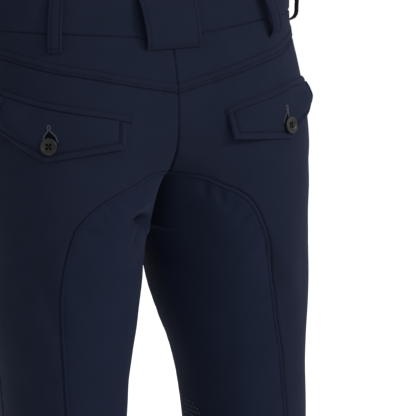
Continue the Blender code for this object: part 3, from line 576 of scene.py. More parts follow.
def g_at_x(x, z, centre=2):
    x, z = np.broadcast_arrays(np.asarray(x, float), np.asarray(z, float))
    line = np.linspace(centre, 0, 401)
    found = np.empty(x.shape)
    for index in np.ndindex(x.shape):
        found[index] = np.interp(x[index], half_surface(line, z[index])[:, 0], line)
    return found


def evenly(g, z, count):
    run = np.linalg.norm(np.diff(half_surface(g, z), axis=0), axis=1)
    middle = (z[1:] + z[:-1]) / 2
    crowding = 1 + CROTCH_CROWDING * np.exp(-(((middle - CROTCH_Z) / CROTCH_REACH) ** 2))
    run = np.concatenate([[0], np.cumsum(run * crowding)])
    where = np.linspace(0, run[-1], count * FINE + 1)
    return np.stack([np.interp(where, run, g), np.interp(where, run, z)], axis=-1)


DENSE = 200


def band_seam(g):
    return table_curve(BAND_SEAM, BAND_SEAM_COLUMNS, "z", "g")(g)


def yoke_line():
    z_of = table_curve(YOKE_SEAM, YOKE_SEAM_COLUMNS, "z", "along")
    along = np.linspace(0, column(YOKE_SEAM, YOKE_SEAM_COLUMNS, "along")[-1], DENSE)
    z = z_of(along)
    g = g_along(along, z)
    reached = np.argmax(g <= 0) if (g <= 0).any() else DENSE - 1
    g, z = g[: reached + 1], z[: reached + 1]
    g[-1] = 0
    return evenly(g, z, BACK_COLUMNS)


def band_line_back():
    g = np.linspace(2, 0, DENSE)
    return evenly(g, band_seam(g), BACK_COLUMNS)


def band_line_front():
    g = np.linspace(0, -2, DENSE)
    return evenly(g, band_seam(g), FRONT_COLUMNS)


def seat_arc(side_name):
    x, z = (column(SEAT_ARC, SEAT_ARC_COLUMNS, f"{axis}_{side_name}") for axis in "xz")
    step = np.arange(len(x))
    fine = np.linspace(0, step[-1], DENSE)
    x, z = curve_through(step, x)(fine), curve_through(step, z)(fine)
    return evenly(g_at_x(x, z), z, BACK_COLUMNS)


def seat_side(side_name):
    top = column(SEAT_ARC, SEAT_ARC_COLUMNS, f"z_{side_name}")[-1]
    z = np.linspace(top, HEM_Z, DENSE)
    x = table_curve(SEAT_SIDE, SEAT_SIDE_COLUMNS, f"x_{side_name}", "z")(z)
    return evenly(g_at_x(x, z), z, SIDE_ROWS)


def side_line(yoke):
    z = np.linspace(yoke[-1][1], HEM_Z, DENSE)
    return evenly(np.zeros(DENSE), z, SIDE_ROWS)


def centre_line(g, top, rows):
    rise = np.linspace(math.sqrt(top - CROTCH_Z), 0, DENSE)
    return evenly(np.full(DENSE, float(g)), CROTCH_Z + rise**2, rows)


def inner_line():
    drop = np.linspace(0, math.sqrt(CROTCH_Z - HEM_Z), DENSE)
    z = CROTCH_Z - drop**2
    heights, wraps = (column(INNER_SEAM, INNER_SEAM_COLUMNS, name)[::-1] for name in ("z", "wrap"))
    return evenly(2 + np.interp(z, heights, wraps), z, INNER_ROWS)


def straight(start, end, count):
    return np.linspace(start, end, count * FINE + 1)


# ------------------------------------------------------------------ grids
def at_fractions(line, fractions):
    """Points of a border at fractions of its run."""
    where = np.asarray(fractions) * (len(line) - 1)
    index = np.arange(len(line))
    return np.stack([np.interp(where, index, line[:, k]) for k in range(line.shape[1])], axis=-1)


def fractions_for(length, step, fine_ends=(True, True)):
    """Fractions along a length: small steps near a sewn end and even ones between."""
    start = [s for s in EDGE_STEPS if s < length * 0.4] if fine_ends[0] else [0.0]
    end = [length - s for s in EDGE_STEPS if s < length * 0.4][::-1] if fine_ends[1] else [length]
    middle = end[0] - start[-1]
    count = max(1, round(middle / step))
    between = [start[-1] + middle * k / count for k in range(1, count)]
    return np.array(start + between + end) / length


def refined(fractions, low, high, count):
    """The fractions with an even, closer run of them from low to high."""
    kept = fractions[(fractions < low - 0.001) | (fractions > high + 0.001)]
    return np.sort(np.concatenate([kept, np.linspace(low, high, count)]))


def patch(borders, across, down):
    """A grid of (g, z) inside four border lines at the fractions across and down."""
    top, bottom = (at_fractions(borders[k], across) for k in ("top", "bottom"))
    left, right = (at_fractions(borders[k], down) for k in ("left", "right"))
    u, v = across[None, :, None], down[:, None, None]
    ruled = (1 - v) * top[None] + v * bottom[None] + (1 - u) * left[:, None] + u * right[:, None]
    corners = (
        (1 - v) * (1 - u) * top[0] + (1 - v) * u * top[-1] + v * (1 - u) * bottom[0] + v * u * bottom[-1]
    )
    return ruled - corners


def length_of(points):
    return float(np.linalg.norm(np.diff(points, axis=0), axis=1).sum())


def nearest(points, line):
    """Distance of each point from a dense line of points, and the place along it."""
    run = np.concatenate([[0], np.cumsum(np.linalg.norm(np.diff(line, axis=0), axis=1))])
    even = np.linspace(0, run[-1], max(2, int(run[-1] / 0.0003)))
    dense = np.stack([np.interp(even, run, line[:, k]) for k in range(3)], axis=-1)
    tree = KDTree(len(dense))
    for index, point in enumerate(dense.tolist()):
        tree.insert(point, index)
    tree.balance()
    flat = points.reshape(-1, 3)
    away, place = np.empty(len(flat)), np.empty(len(flat))
    for k, point in enumerate(flat.tolist()):
        _, index, distance = tree.find(point)
        away[k], place[k] = distance, even[index]
    return away.reshape(points.shape[:-1]), place.reshape(points.shape[:-1])


def uneven(place, seed):
    """An uneven wave along a seam, from -1 to 1."""
    return (
        np.sin(place * 2 * math.pi / 0.0135 + seed)
        + 0.7 * np.sin(place * 2 * math.pi / 0.0217 + seed * 2.3)
        + 0.5 * np.sin(place * 2 * math.pi / 0.0083 + seed * 0.7)
    ) / 2.2


def seam_relief(away, place, seed, raised=0.0, raised_to=0.0, rows=()):
    """How a seam shapes the cloth beside it: its ditch, the layers below and the rows of stitches."""
    height = -DITCH_DEPTH * np.exp(-((away / DITCH_WIDTH) ** 2))
    if raised:
        height += raised * smooth_step(away / 0.0016) * smooth_step((raised_to + 0.0012 - away) / 0.0024)
    for offset in rows:
        nick = 0.75 + 0.25 * np.cos(place * 2 * math.pi / STITCH_PITCH)
        height -= SINK_DEPTH * nick * np.exp(-(((away - offset) / SINK_WIDTH) ** 2))
    height += (
        PUCKER_DEPTH * uneven(place, seed) * np.exp(-((away / PUCKER_REACH) ** 2)) * smooth_step(away / 0.0015)
    )
    return height


def hatch_relief(away, place, runs):
    """Short ridges across a row of stitches, where the thread draws the layers together."""
    height = np.zeros(away.shape)
    for start, end, offset in runs:
        inside = smooth_step((place - start) / 0.002) * smooth_step((end - place) / 0.002)
        ridges = np.cos(place * 2 * math.pi / HATCH_PITCH + 0.8 * np.sin(place * 700))
        height += HATCH_HEIGHT * inside * ridges * np.exp(-(((away - offset) / HATCH_REACH) ** 2))
    return height


def edge_relief(away):
    return -EDGE_ROUND * np.exp(-((away / EDGE_ROUND_WIDTH) ** 2))


def slab(name, outer, inner, material, closed=False):
    """A closed piece of cloth from its outer and inner grids, with metres of cloth as its UVs."""
    rows, columns = outer.shape[:2]
    size = rows * columns
    grid = np.arange(size).reshape(rows, columns)
    a, b, c, d = grid[:-1, :-1], grid[1:, :-1], grid[1:, 1:], grid[:-1, 1:]
    out = np.stack([a, b, c, d], axis=-1).reshape(-1, 4)
    into = np.stack([a, d, c, b], axis=-1).reshape(-1, 4) + size
    border = np.concatenate([grid[:, 0], grid[-1, 1:], grid[-2::-1, -1], grid[0, -2:0:-1]])
    ahead = np.roll(border, -1)
    rim = np.stack([ahead, border, border + size, ahead + size], axis=-1)
    faces = np.concatenate([out, into, rim])
    points = np.concatenate([outer.reshape(-1, 3), inner.reshape(-1, 3)])

    mesh = bpy.data.meshes.new(name)
    mesh.from_pydata(points.tolist(), [], faces.tolist())
    across = np.linalg.norm(np.diff(outer, axis=1), axis=-1).cumsum(axis=1)
    down = np.linalg.norm(np.diff(outer, axis=0), axis=-1).cumsum(axis=0)
    u = np.concatenate([np.zeros((rows, 1)), across], axis=1)
    v = np.concatenate([np.zeros((1, columns)), down], axis=0)
    u = u - u.mean(axis=1, keepdims=True)
    uv = np.tile(np.stack([u, -v], axis=-1).reshape(-1, 2), (2, 1))
    layer = mesh.uv_layers.new(name="cloth")
    loops = np.empty(len(mesh.loops), np.int32)
    mesh.loops.foreach_get("vertex_index", loops)
    layer.data.foreach_set("uv", uv[loops].astype(np.float32).ravel())
    shape = bmesh.new()
    shape.from_mesh(mesh)
    bmesh.ops.recalc_face_normals(shape, faces=shape.faces)
    shape.to_mesh(mesh)
    shape.free()
    mesh.materials.append(material)
    mesh.shade_smooth()
    mesh.set_sharp_from_angle(angle=math.radians(60))
    made = bpy.data.objects.new(name, mesh)
    bpy.context.scene.collection.objects.link(made)
    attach(made, "root")
    return made


def joined(name, points, faces, material):
    """One mesh of many small things."""
    mesh = bpy.data.meshes.new(name)
    mesh.from_pydata(np.asarray(points).tolist(), [], np.asarray(faces).tolist())
    shape = bmesh.new()
    shape.from_mesh(mesh)
    bmesh.ops.recalc_face_normals(shape, faces=shape.faces)
    shape.to_mesh(mesh)
    shape.free()
    mesh.materials.append(material)
    mesh.shade_smooth()
    made = bpy.data.objects.new(name, mesh)
    bpy.context.scene.collection.objects.link(made)
    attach(made, "root")
    return made


# ------------------------------------------------------------------ materials
def node_material(name):
    material = bpy.data.materials.new(name)
    material.use_nodes = True
    nodes = material.node_tree.nodes
    return material, nodes, material.node_tree.links, nodes["Principled BSDF"]


def cloth_material(name, dark, light, roughness, sheen, grain):
    """Matt stretch cloth: fine ribs of its weave, slow mottling and a short nap."""
    material, nodes, links, shader = node_material(name)
    place = nodes.new("ShaderNodeTexCoord")
    mottle = nodes.new("ShaderNodeTexNoise")
    mottle.inputs["Scale"].default_value = 38
    mottle.inputs["Detail"].default_value = 4
    fine = nodes.new("ShaderNodeTexNoise")
    fine.inputs["Scale"].default_value = 900
    fine.inputs["Detail"].default_value = 2
    links.new(place.outputs["Object"], mottle.inputs["Vector"])
    links.new(place.outputs["Object"], fine.inputs["Vector"])
    both = nodes.new("ShaderNodeMix")
    both.data_type = "FLOAT"
    both.inputs["Factor"].default_value = 0.45
    links.new(mottle.outputs["Fac"], both.inputs["A"])
    links.new(fine.outputs["Fac"], both.inputs["B"])
    ramp = nodes.new("ShaderNodeValToRGB")
    ramp.color_ramp.elements[0].position = 0.30
    ramp.color_ramp.elements[0].color = (*dark, 1)
    ramp.color_ramp.elements[1].position = 0.70
    ramp.color_ramp.elements[1].color = (*light, 1)
    links.new(both.outputs["Result"], ramp.inputs["Fac"])
    links.new(ramp.outputs["Color"], shader.inputs["Base Color"])

    ribs = nodes.new("ShaderNodeTexWave")
    ribs.bands_direction = "DIAGONAL"
    ribs.inputs["Scale"].default_value = 300
    ribs.inputs["Distortion"].default_value = 1.2
    ribs.inputs["Detail"].default_value = 1
    cross = nodes.new("ShaderNodeTexWave")
    cross.bands_direction = "Y"
    cross.inputs["Scale"].default_value = 420
    links.new(place.outputs["UV"], ribs.inputs["Vector"])
    links.new(place.outputs["UV"], cross.inputs["Vector"])
    weave = nodes.new("ShaderNodeMix")
    weave.data_type = "FLOAT"
    weave.inputs["Factor"].default_value = 0.35
    links.new(ribs.outputs["Fac"], weave.inputs["A"])
    links.new(cross.outputs["Fac"], weave.inputs["B"])
    bump = nodes.new("ShaderNodeBump")
    bump.inputs["Strength"].default_value = grain
    bump.inputs["Distance"].default_value = 0.00012
    links.new(weave.outputs["Result"], bump.inputs["Height"])
    links.new(bump.outputs["Normal"], shader.inputs["Normal"])
    shader.inputs["Roughness"].default_value = roughness
    shader.inputs["Specular IOR Level"].default_value = 0.02
    shader.inputs["Sheen Weight"].default_value = sheen
    shader.inputs["Sheen Roughness"].default_value = 0.45
    shader.inputs["Sheen Tint"].default_value = (0.50, 0.56, 1.0, 1)
    return material


def plastic_material(name, dark, light, roughness):
    """Moulded plastic with faint clouds, like horn."""
    material, nodes, links, shader = node_material(name)
    place = nodes.new("ShaderNodeTexCoord")
    cloud = nodes.new("ShaderNodeTexNoise")
    cloud.inputs["Scale"].default_value = 220
    cloud.inputs["Detail"].default_value = 4
    cloud.inputs["Distortion"].default_value = 0.6
    links.new(place.outputs["Object"], cloud.inputs["Vector"])
    ramp = nodes.new("ShaderNodeValToRGB")
    ramp.color_ramp.elements[0].position = 0.35
    ramp.color_ramp.elements[0].color = (*dark, 1)
    ramp.color_ramp.elements[1].position = 0.72
    ramp.color_ramp.elements[1].color = (*light, 1)
    links.new(cloud.outputs["Fac"], ramp.inputs["Fac"])
    links.new(ramp.outputs["Color"], shader.inputs["Base Color"])
    bump = nodes.new("ShaderNodeBump")
    bump.inputs["Strength"].default_value = 0.15
    bump.inputs["Distance"].default_value = 0.0001
    links.new(cloud.outputs["Fac"], bump.inputs["Height"])
    links.new(bump.outputs["Normal"], shader.inputs["Normal"])
    shader.inputs["Roughness"].default_value = roughness
    shader.inputs["Specular IOR Level"].default_value = 0.18
    return material


def thread_material(name, colour, sheen):
    material, nodes, links, shader = node_material(name)
    place = nodes.new("ShaderNodeTexCoord")
    twist = nodes.new("ShaderNodeTexNoise")
    twist.inputs["Scale"].default_value = 1500
    links.new(place.outputs["Object"], twist.inputs["Vector"])
    ramp = nodes.new("ShaderNodeValToRGB")
    ramp.color_ramp.elements[0].position = 0.25
    ramp.color_ramp.elements[0].color = (*(c * 0.7 for c in colour), 1)
    ramp.color_ramp.elements[1].position = 0.75
    ramp.color_ramp.elements[1].color = (*(c * 1.25 for c in colour), 1)
    links.new(twist.outputs["Fac"], ramp.inputs["Fac"])
    links.new(ramp.outputs["Color"], shader.inputs["Base Color"])
    shader.inputs["Roughness"].default_value = 0.6
    shader.inputs["Specular IOR Level"].default_value = 0.05
    shader.inputs["Sheen Weight"].default_value = sheen
    return material


CLOTH = cloth_material("stretch_cloth", (0.0051, 0.0069, 0.0143), (0.0063, 0.0084, 0.0173), 0.85, 0.035, 0.35)
SEAT_CLOTH = cloth_material(
    "seat_cloth", (0.0047, 0.0067, 0.0147), (0.0058, 0.0082, 0.0177), 0.85, 0.035, 0.35
)
BUTTON_PLASTIC = plastic_material("button_plastic", (0.0034, 0.0034, 0.0036), (0.0078, 0.0078, 0.0072), 0.40)
THREAD = thread_material("navy_thread", (0.0022, 0.0029, 0.0058), 0.0)
BUTTON_THREAD = thread_material("button_thread", (0.0010, 0.0010, 0.0013), 0.0)
GRIP_PRINT = plastic_material("grip_print", (0.022, 0.025, 0.031), (0.036, 0.040, 0.048), 0.45)

# ------------------------------------------------------------------ panels
BAND_BACK, BAND_FRONT, YOKE, INNER = band_line_back(), band_line_front(), yoke_line(), inner_line()
SIDE = side_line(YOKE)
YOKE_CENTRE = straight(BAND_BACK[0], YOKE[0], YOKE_ROWS)
YOKE_SIDE = straight(BAND_BACK[-1], YOKE[-1], YOKE_ROWS)


def on_surface(line):
    return half_surface(line[:, 0], line[:, 1])


def inset(points, borders):
    """The grid with its named borders moved in by half the gap."""
    moved = points.copy()
    rows = {
        "top": (points[0], points[1], (0, slice(None))),
        "bottom": (points[-1], points[-2], (-1, slice(None))),
        "left": (points[:, 0], points[:, 1], (slice(None), 0)),
        "right": (points[:, -1], points[:, -2], (slice(None), -1)),
    }
    for name in borders:
        edge, neighbour, where = rows[name]
        inward = neighbour - edge
        inward /= np.maximum(np.linalg.norm(inward, axis=-1, keepdims=True), 1e-9)
        moved[where] += inward * SEAM_GAP / 2
    return moved


SURFACES = {}


def panel(kind, side_name, borders, seams, material, across, down, gaps=("top", "left", "right")):
    """A panel with the relief of its seams.  seams: (line on the surface, raised, raised to, rows)."""
    grid = patch(borders, across, down)
    g, z = grid[..., 0], grid[..., 1]
    plain, normal = half_surface(g, z), normals_at(g, z)
    broad = cloth_height(plain, side_name)
    height = np.zeros(plain.shape[:-1])
    for seed, (line, rule, values) in enumerate(seams):
        away, place = nearest(plain, on_surface(line))
        if rule == "seam":
            height += seam_relief(away, place, seed + (2.0 if side_name == "left" else 5.0), *values)
        elif rule == "rows":
            for offset in values:
                nick = 0.75 + 0.25 * np.cos(place * 2 * math.pi / STITCH_PITCH)
                height -= SINK_DEPTH * nick * np.exp(-(((away - offset) / SINK_WIDTH) ** 2))
        elif rule == "hatch":
            height += hatch_relief(away, place, values)
        else:
            height += edge_relief(away)
    moved = cleft(plain) if kind == "seat" else 0
    outer = inset(plain + normal * (broad + height)[..., None] + moved, gaps)
    inner = plain + normal * (broad + np.minimum(height, 0) - WALL)[..., None] + moved
    side = SIDES[side_name]
    made = slab(f"{kind}_{side_name}_cloth", mirrored(outer, side), mirrored(inner, side), material)
    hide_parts(f"{kind}_{side_name}")
    SURFACES[f"{kind}_{side_name}"] = (made, side)
    return made


STITCH_ROWS = []          # (surface name, seam line, offset into the panel, towards)
HEM_LINE = np.stack([np.linspace(2.3, -1.7, 400), np.full(400, HEM_Z)], axis=-1)
HEM_TURN = 0.020
ARC_ROW = 0.0041
YOKE_ROWS_AT = (0.0032, 0.0090)


def line_between(a, b):
    return np.concatenate([a, b[1:]])


for name in SIDES:
    arc, seat_edge = seat_arc(name), seat_side(name)
    outline = line_between(arc, seat_edge)

    borders = {"top": BAND_BACK, "bottom": YOKE, "left": YOKE_CENTRE, "right": YOKE_SIDE}
    wide, tall = length_of(on_surface(YOKE)), length_of(on_surface(YOKE_CENTRE))
    seams = [
        (BAND_BACK, "seam", ()),
        (YOKE, "seam", (0.00070, YOKE_ROWS_AT[1], YOKE_ROWS_AT)),
        (YOKE_CENTRE, "seam", ()),
        (YOKE_SIDE, "seam", ()),
        (YOKE, "hatch", HATCH),
    ]
    panel(
        "yoke", name, borders, seams, CLOTH,
        fractions_for(wide, 0.0007), fractions_for(tall, 0.0012), ("top", "bottom", "left", "right"),
    )
    STITCH_ROWS += [(f"yoke_{name}", YOKE, offset) for offset in YOKE_ROWS_AT]

    centre = centre_line(2, arc[0][1], CENTRE_BACK_ROWS)
    right = line_between(centre, INNER)
    hem = straight(seat_edge[-1], INNER[-1], BACK_COLUMNS)
    borders = {"top": arc[::-1], "bottom": hem, "left": seat_edge, "right": right}
    seams = [
        (outline, "seam", (0.00080, ARC_ROW, (ARC_ROW,))),
        (centre, "seam", ()),
        (INNER, "seam", (0.0, 0.0, (ARC_ROW,))),
        (HEM_LINE, "edge", ()),
        (HEM_LINE, "rows", (HEM_TURN,)),
    ]
    panel(
        "seat", name, borders, seams, SEAT_CLOTH,
        refined(fractions_for(0.165, STEP), 0.56, 0.90, 46),
        refined(fractions_for(0.700, STEP), 0.03, 0.25, 96),
    )
    STITCH_ROWS += [(f"seat_{name}", outline, ARC_ROW), (f"seat_{name}", INNER, ARC_ROW)]

    start = straight(arc[0], YOKE[0], BACK_ACROSS)
    end = straight(seat_edge[-1], SIDE[-1], BACK_ACROSS)
    borders = {"top": start, "bottom": end, "left": outline, "right": line_between(YOKE, SIDE)}
    seams = [
        (outline, "seam", ()),
        (YOKE, "seam", ()),
        (SIDE, "seam", ()),
        (start, "seam", ()),
        (HEM_LINE, "edge", ()),
        (HEM_LINE, "rows", (HEM_TURN,)),
    ]
    panel(
        "back", name, borders, seams, CLOTH,
        fractions_for(0.085, 0.0028), fractions_for(0.900, STEP),
    )

    under = INNER - np.array([4.0, 0.0])
    fly = centre_line(-2, BAND_FRONT[-1][1], CENTRE_FRONT_ROWS)
    borders = {
        "top": BAND_FRONT,
        "bottom": straight(SIDE[-1], under[-1], FRONT_COLUMNS),
        "left": line_between(YOKE_SIDE, SIDE),
        "right": line_between(fly, under),
    }
    seams = [
        (BAND_FRONT, "seam", ()),
        (line_between(YOKE_SIDE, SIDE), "seam", ()),
        (fly, "seam", (0.00045, 0.0030, ())),
        (under, "seam", ()),
        (HEM_LINE, "edge", ()),
        (HEM_LINE, "rows", (HEM_TURN,)),
    ]
    panel(
        "front", name, borders, seams, CLOTH,
        fractions_for(0.190, STEP), fractions_for(0.860, STEP),
    )


# ------------------------------------------------------------------ waistband
def build_waistband():
    half = at_fractions(
        np.concatenate([BAND_FRONT[::-1], BAND_BACK[::-1][1:]]), np.linspace(0, 1, 151)
    )
    heights = np.array([1.0, 0.988, 0.972, 0.95, 0.92, 0.88, 0.82, 0.74, 0.66, 0.58, 0.50, 0.42, 0.34, 0.26,
                        0.18, 0.12, 0.08, 0.052, 0.032, 0.016, 0.0])[:, None]
    rise = SEAM_GAP / 2 + (BAND_HEIGHT - SEAM_GAP / 2) * heights
    g = np.broadcast_to(half[:, 0], (len(heights), len(half)))
    z = half[:, 1] + rise
    points, normal = half_surface(g, z), normals_at(g, z)
    lift = smooth_step(1 - points[..., 0] / TAB_RISE_LENGTH) * (g < -1) * TAB_LIFT
    left = points + normal * lift[..., None]
    tab_x = TAB_LENGTH * np.array([1.0, 0.985, 0.96, 0.92, 0.86, 0.78, 0.68, 0.56, 0.44, 0.33, 0.22, 0.11])
    tab_g = g_at_x(tab_x, band_seam(-2.0) + BAND_HEIGHT / 2, centre=-2)
    tab_z = band_seam(tab_g) + rise
    tab_g = np.broadcast_to(tab_g, tab_z.shape)
    tab_normal = normals_at(tab_g, tab_z)
    tab = mirrored(half_surface(tab_g, tab_z) + tab_normal * TAB_LIFT, -1)
    right = mirrored(points, -1)[:, ::-1][:, 1:]
    outer = np.concatenate([tab, left, right], axis=1)
    out = np.concatenate([mirrored(tab_normal, -1), normal, mirrored(normal, -1)[:, ::-1][:, 1:]], axis=1)

    # Rounded edges, a ditch at the seam and a slow wave between the loops
    run = np.concatenate([[0], np.cumsum(np.linalg.norm(np.diff(outer[10], axis=0), axis=1))])
    away_top = BAND_HEIGHT * (1 - heights)
    away_seam = BAND_HEIGHT * heights
    away_ends = np.minimum(run, run[-1] - run)[None]
    height = (
        -0.0008 * np.exp(-((away_top / 0.0010) ** 2)) - DITCH_DEPTH * np.exp(-((away_seam / DITCH_WIDTH) ** 2))
    )
    height = height - 0.0007 * np.exp(-((away_ends / 0.0010) ** 2))
    nick = 0.75 + 0.25 * np.cos(run * 2 * math.pi / STITCH_PITCH)
    height = height - SINK_DEPTH * 0.8 * nick[None] * np.exp(-(((away_top - 0.0030) / SINK_WIDTH) ** 2))
    bulge = 0.00035 * np.sin(math.pi * heights)
    height = height + bulge * uneven(run * 0.35, 1.7)[None]
    inner = outer - out * (BAND_WALL + np.minimum(height, 0) * -0.2)[..., None]
    outer = outer + out * height[..., None]
    made = slab("waistband_cloth", outer, inner, CLOTH)
    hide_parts("waistband")
    SURFACES["waistband"] = (made, 1)
    return made


WAISTBAND = build_waistband()

# ------------------------------------------------------------------ loops
LOOP_DOWN = np.array([0.0, 0.015, 0.03, 0.05, 0.07, 0.10, 0.13, 0.16, 0.20, 0.25, 0.30, 0.35, 0.40, 0.46, 0.52, 0.57,
                      0.62, 0.67, 0.72, 0.76, 0.80, 0.84, 0.87, 0.90, 0.92, 0.94, 0.96, 0.975, 0.988, 1.0])


def loop_grid(along, half_width, below, bow, profile, across, twist=0.0):
    """Base points and normals of a strip sewn down at the top of the band and below its seam.

    along and half_width each hold a value for the top and one for the bottom.
    """
    seam = float(band_seam(float(g_along(along[1], band_seam(1.0)))))
    top, bottom = seam + BAND_HEIGHT - 0.001, seam - below
    at, stand = (column(LOOP_PROFILE, LOOP_PROFILE_COLUMNS, name) for name in ("down", profile))
    stand = curve_through(at, stand)(LOOP_DOWN) * bow
    z = (top + (bottom - top) * LOOP_DOWN)[:, None]
    middle, width = ((pair[0] + (pair[1] - pair[0]) * LOOP_DOWN)[:, None] for pair in (along, half_width))
    run = middle + across[None, :] * width
    z = np.broadcast_to(z, run.shape)
    g = g_along(np.abs(run), z)
    points, normal = half_surface(g, z), normals_at(g, z)
    points[..., 0] *= np.where(run < 0, -1, 1)
    normal[..., 0] *= np.where(run < 0, -1, 1)
    lift = REST_GAP + stand[:, None] * (1 + twist * across[None, :])
    return points, normal, lift


def build_loop(node, shape, wall, across, rows_at, side, end_dip=0.0004):
    points, normal, lift = loop_grid(*shape[:5], across, *shape[5:])
    width = shape[1][0] * 2
    away_side = width / 2 * (1 - np.abs(across))[None]
    long = length_of(points[:, len(across) // 2] + normal[:, len(across) // 2] * lift[:, :1])
    away_end = np.minimum(LOOP_DOWN, 1 - LOOP_DOWN)[:, None] * long
    height = -0.0006 * np.exp(-((away_side / 0.0008) ** 2)) - 0.0005 * np.exp(-((away_end / 0.0009) ** 2))
    for offset in rows_at:
        height = height - SINK_DEPTH * 0.8 * np.exp(-(((away_side - offset) / 0.0008) ** 2))
    height = height - end_dip * np.exp(-(((away_end - 0.0045) / 0.0012) ** 2))
    outer = points + normal * (lift + wall + height)[..., None]
    inner = points + normal * (lift + np.minimum(-height, 0.0004) * 0.5)[..., None]
    made = slab(f"{node}_cloth", mirrored(outer, side), mirrored(inner, side), CLOTH)
    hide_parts(node)
    SURFACES[node] = (made, side)
    return made


STRIP_ACROSS = np.array([-1, -0.94, -0.86, -0.76, -0.66, -0.56, -0.45, -0.3, -0.15, 0, 0.15, 0.3, 0.45, 0.56, 0.66,
                         0.76, 0.86, 0.94, 1.0])
PATCH_ACROSS = np.concatenate([-1 + np.array([0, 0.012, 0.03, 0.05, 0.075, 0.10, 0.125, 0.15, 0.18, 0.215]),
                               np.linspace(-0.75, 0.75, 21),
                               1 - np.array([0.215, 0.18, 0.15, 0.125, 0.10, 0.075, 0.05, 0.03, 0.012, 0])])
LOOP_ROWS_AT = (0.0026,)
PATCH_ROWS_AT = (0.0036,)
PATCH_SHAPE = (
    (0.0, 0.0), (PATCH_TOP_WIDTH / 2, PATCH_BOTTOM_WIDTH / 2), PATCH_BELOW_SEAM, PATCH_BOW, "patch", 0.12,
)
LOOP_SHAPES = {
    f"loop_{place}_{name}": (
        ((top, bottom), (LOOP_WIDTH / 2, LOOP_WIDTH / 2), below, bow, place), SIDES[name],
    )
    for place, name, top, bottom, below, bow in LOOPS
}
build_loop("loop_center_back", PATCH_SHAPE, PATCH_WALL, PATCH_ACROSS, PATCH_ROWS_AT, 1, 0.0)
for node, (shape, side) in LOOP_SHAPES.items():
    build_loop(node, shape, LOOP_WALL, STRIP_ACROSS, LOOP_ROWS_AT, side)


# ------------------------------------------------------------------ pockets
FLAP_BORDER = 0.0066       # of the flap's row of stitches, from its edge


def welt_line(name, side_name):
    at, drop = (table_curve(WELT, WELT_COLUMNS, wanted, "along") for wanted in (name, "drop_right"))
    share = 1 if side_name == "right" else 0
    return lambda along: at(along) - share * drop(along)


def flap_edge(side_name):
    return tuple(column(FLAP_EDGE, FLAP_COLUMNS, f"{name}_{side_name}") for name in ("along", "z"))


def pocket_stand(along, z, side_name):
    """How far welt and flap stand off: the flap's inner corner is free and the outer end of both gapes."""
    top, seam = (welt_line(name, side_name)(along) for name in ("z_top", "z_bottom"))
    low = np.interp(along, *flap_edge(side_name))
    down_flap = np.clip((seam - z) / (seam - low), 0, 1)
    down = np.clip((top - z) / (top - low), 0, 1)
    near, far = FLAP_INNER_REACH
    inner = smooth_step((far - along) / (far - near)) * FLAP_INNER_LIFT[side_name] * down_flap
    near, far = POCKET_OUTER_REACH
    swell = np.sin(math.pi * down**POCKET_OUTER_SAG)
    outer = smooth_step((along - near) / (far - near)) * POCKET_OUTER_LIFT[side_name] * swell
    return inner + outer + FLAP_SAG_LIFT * down_flap


def build_welt(side_name):
    z_top, z_bottom = welt_line("z_top", side_name), welt_line("z_bottom", side_name)
    ends = column(WELT, WELT_COLUMNS, "along")[[0, -1]]
    across = fractions_for(float(ends[1] - ends[0]), 0.0024)
    down = np.array([0, 0.06, 0.14, 0.25, 0.38, 0.5, 0.62, 0.75, 0.86, 0.94, 1.0])[:, None]
    along = ends[0] + (ends[1] - ends[0]) * across
    z = z_top(along)[None] * (1 - down) + z_bottom(along)[None] * down
    run = np.broadcast_to(along, z.shape)
    g = g_along(run, z)
    lift = REST_GAP + pocket_stand(run, z, side_name)
    points, normal = half_surface(g, z), normals_at(g, z)
    tall = 0.0055
    away = np.minimum(np.minimum(down * tall, (1 - down) * tall), np.minimum(run - ends[0], ends[1] - run))
    height = -0.0008 * np.exp(-((away / 0.0009) ** 2)) + 0.0002 * np.sin(math.pi * down)
    outer = points + normal * (lift + WELT_WALL + height)[..., None]
    inner = points + normal * lift[..., None]
    side = SIDES[side_name]
    made = slab(f"pocket_welt_{side_name}_cloth", mirrored(outer, side), mirrored(inner, side), CLOTH)
    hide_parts(f"pocket_welt_{side_name}")
    SURFACES[f"pocket_welt_{side_name}"] = (made, side)


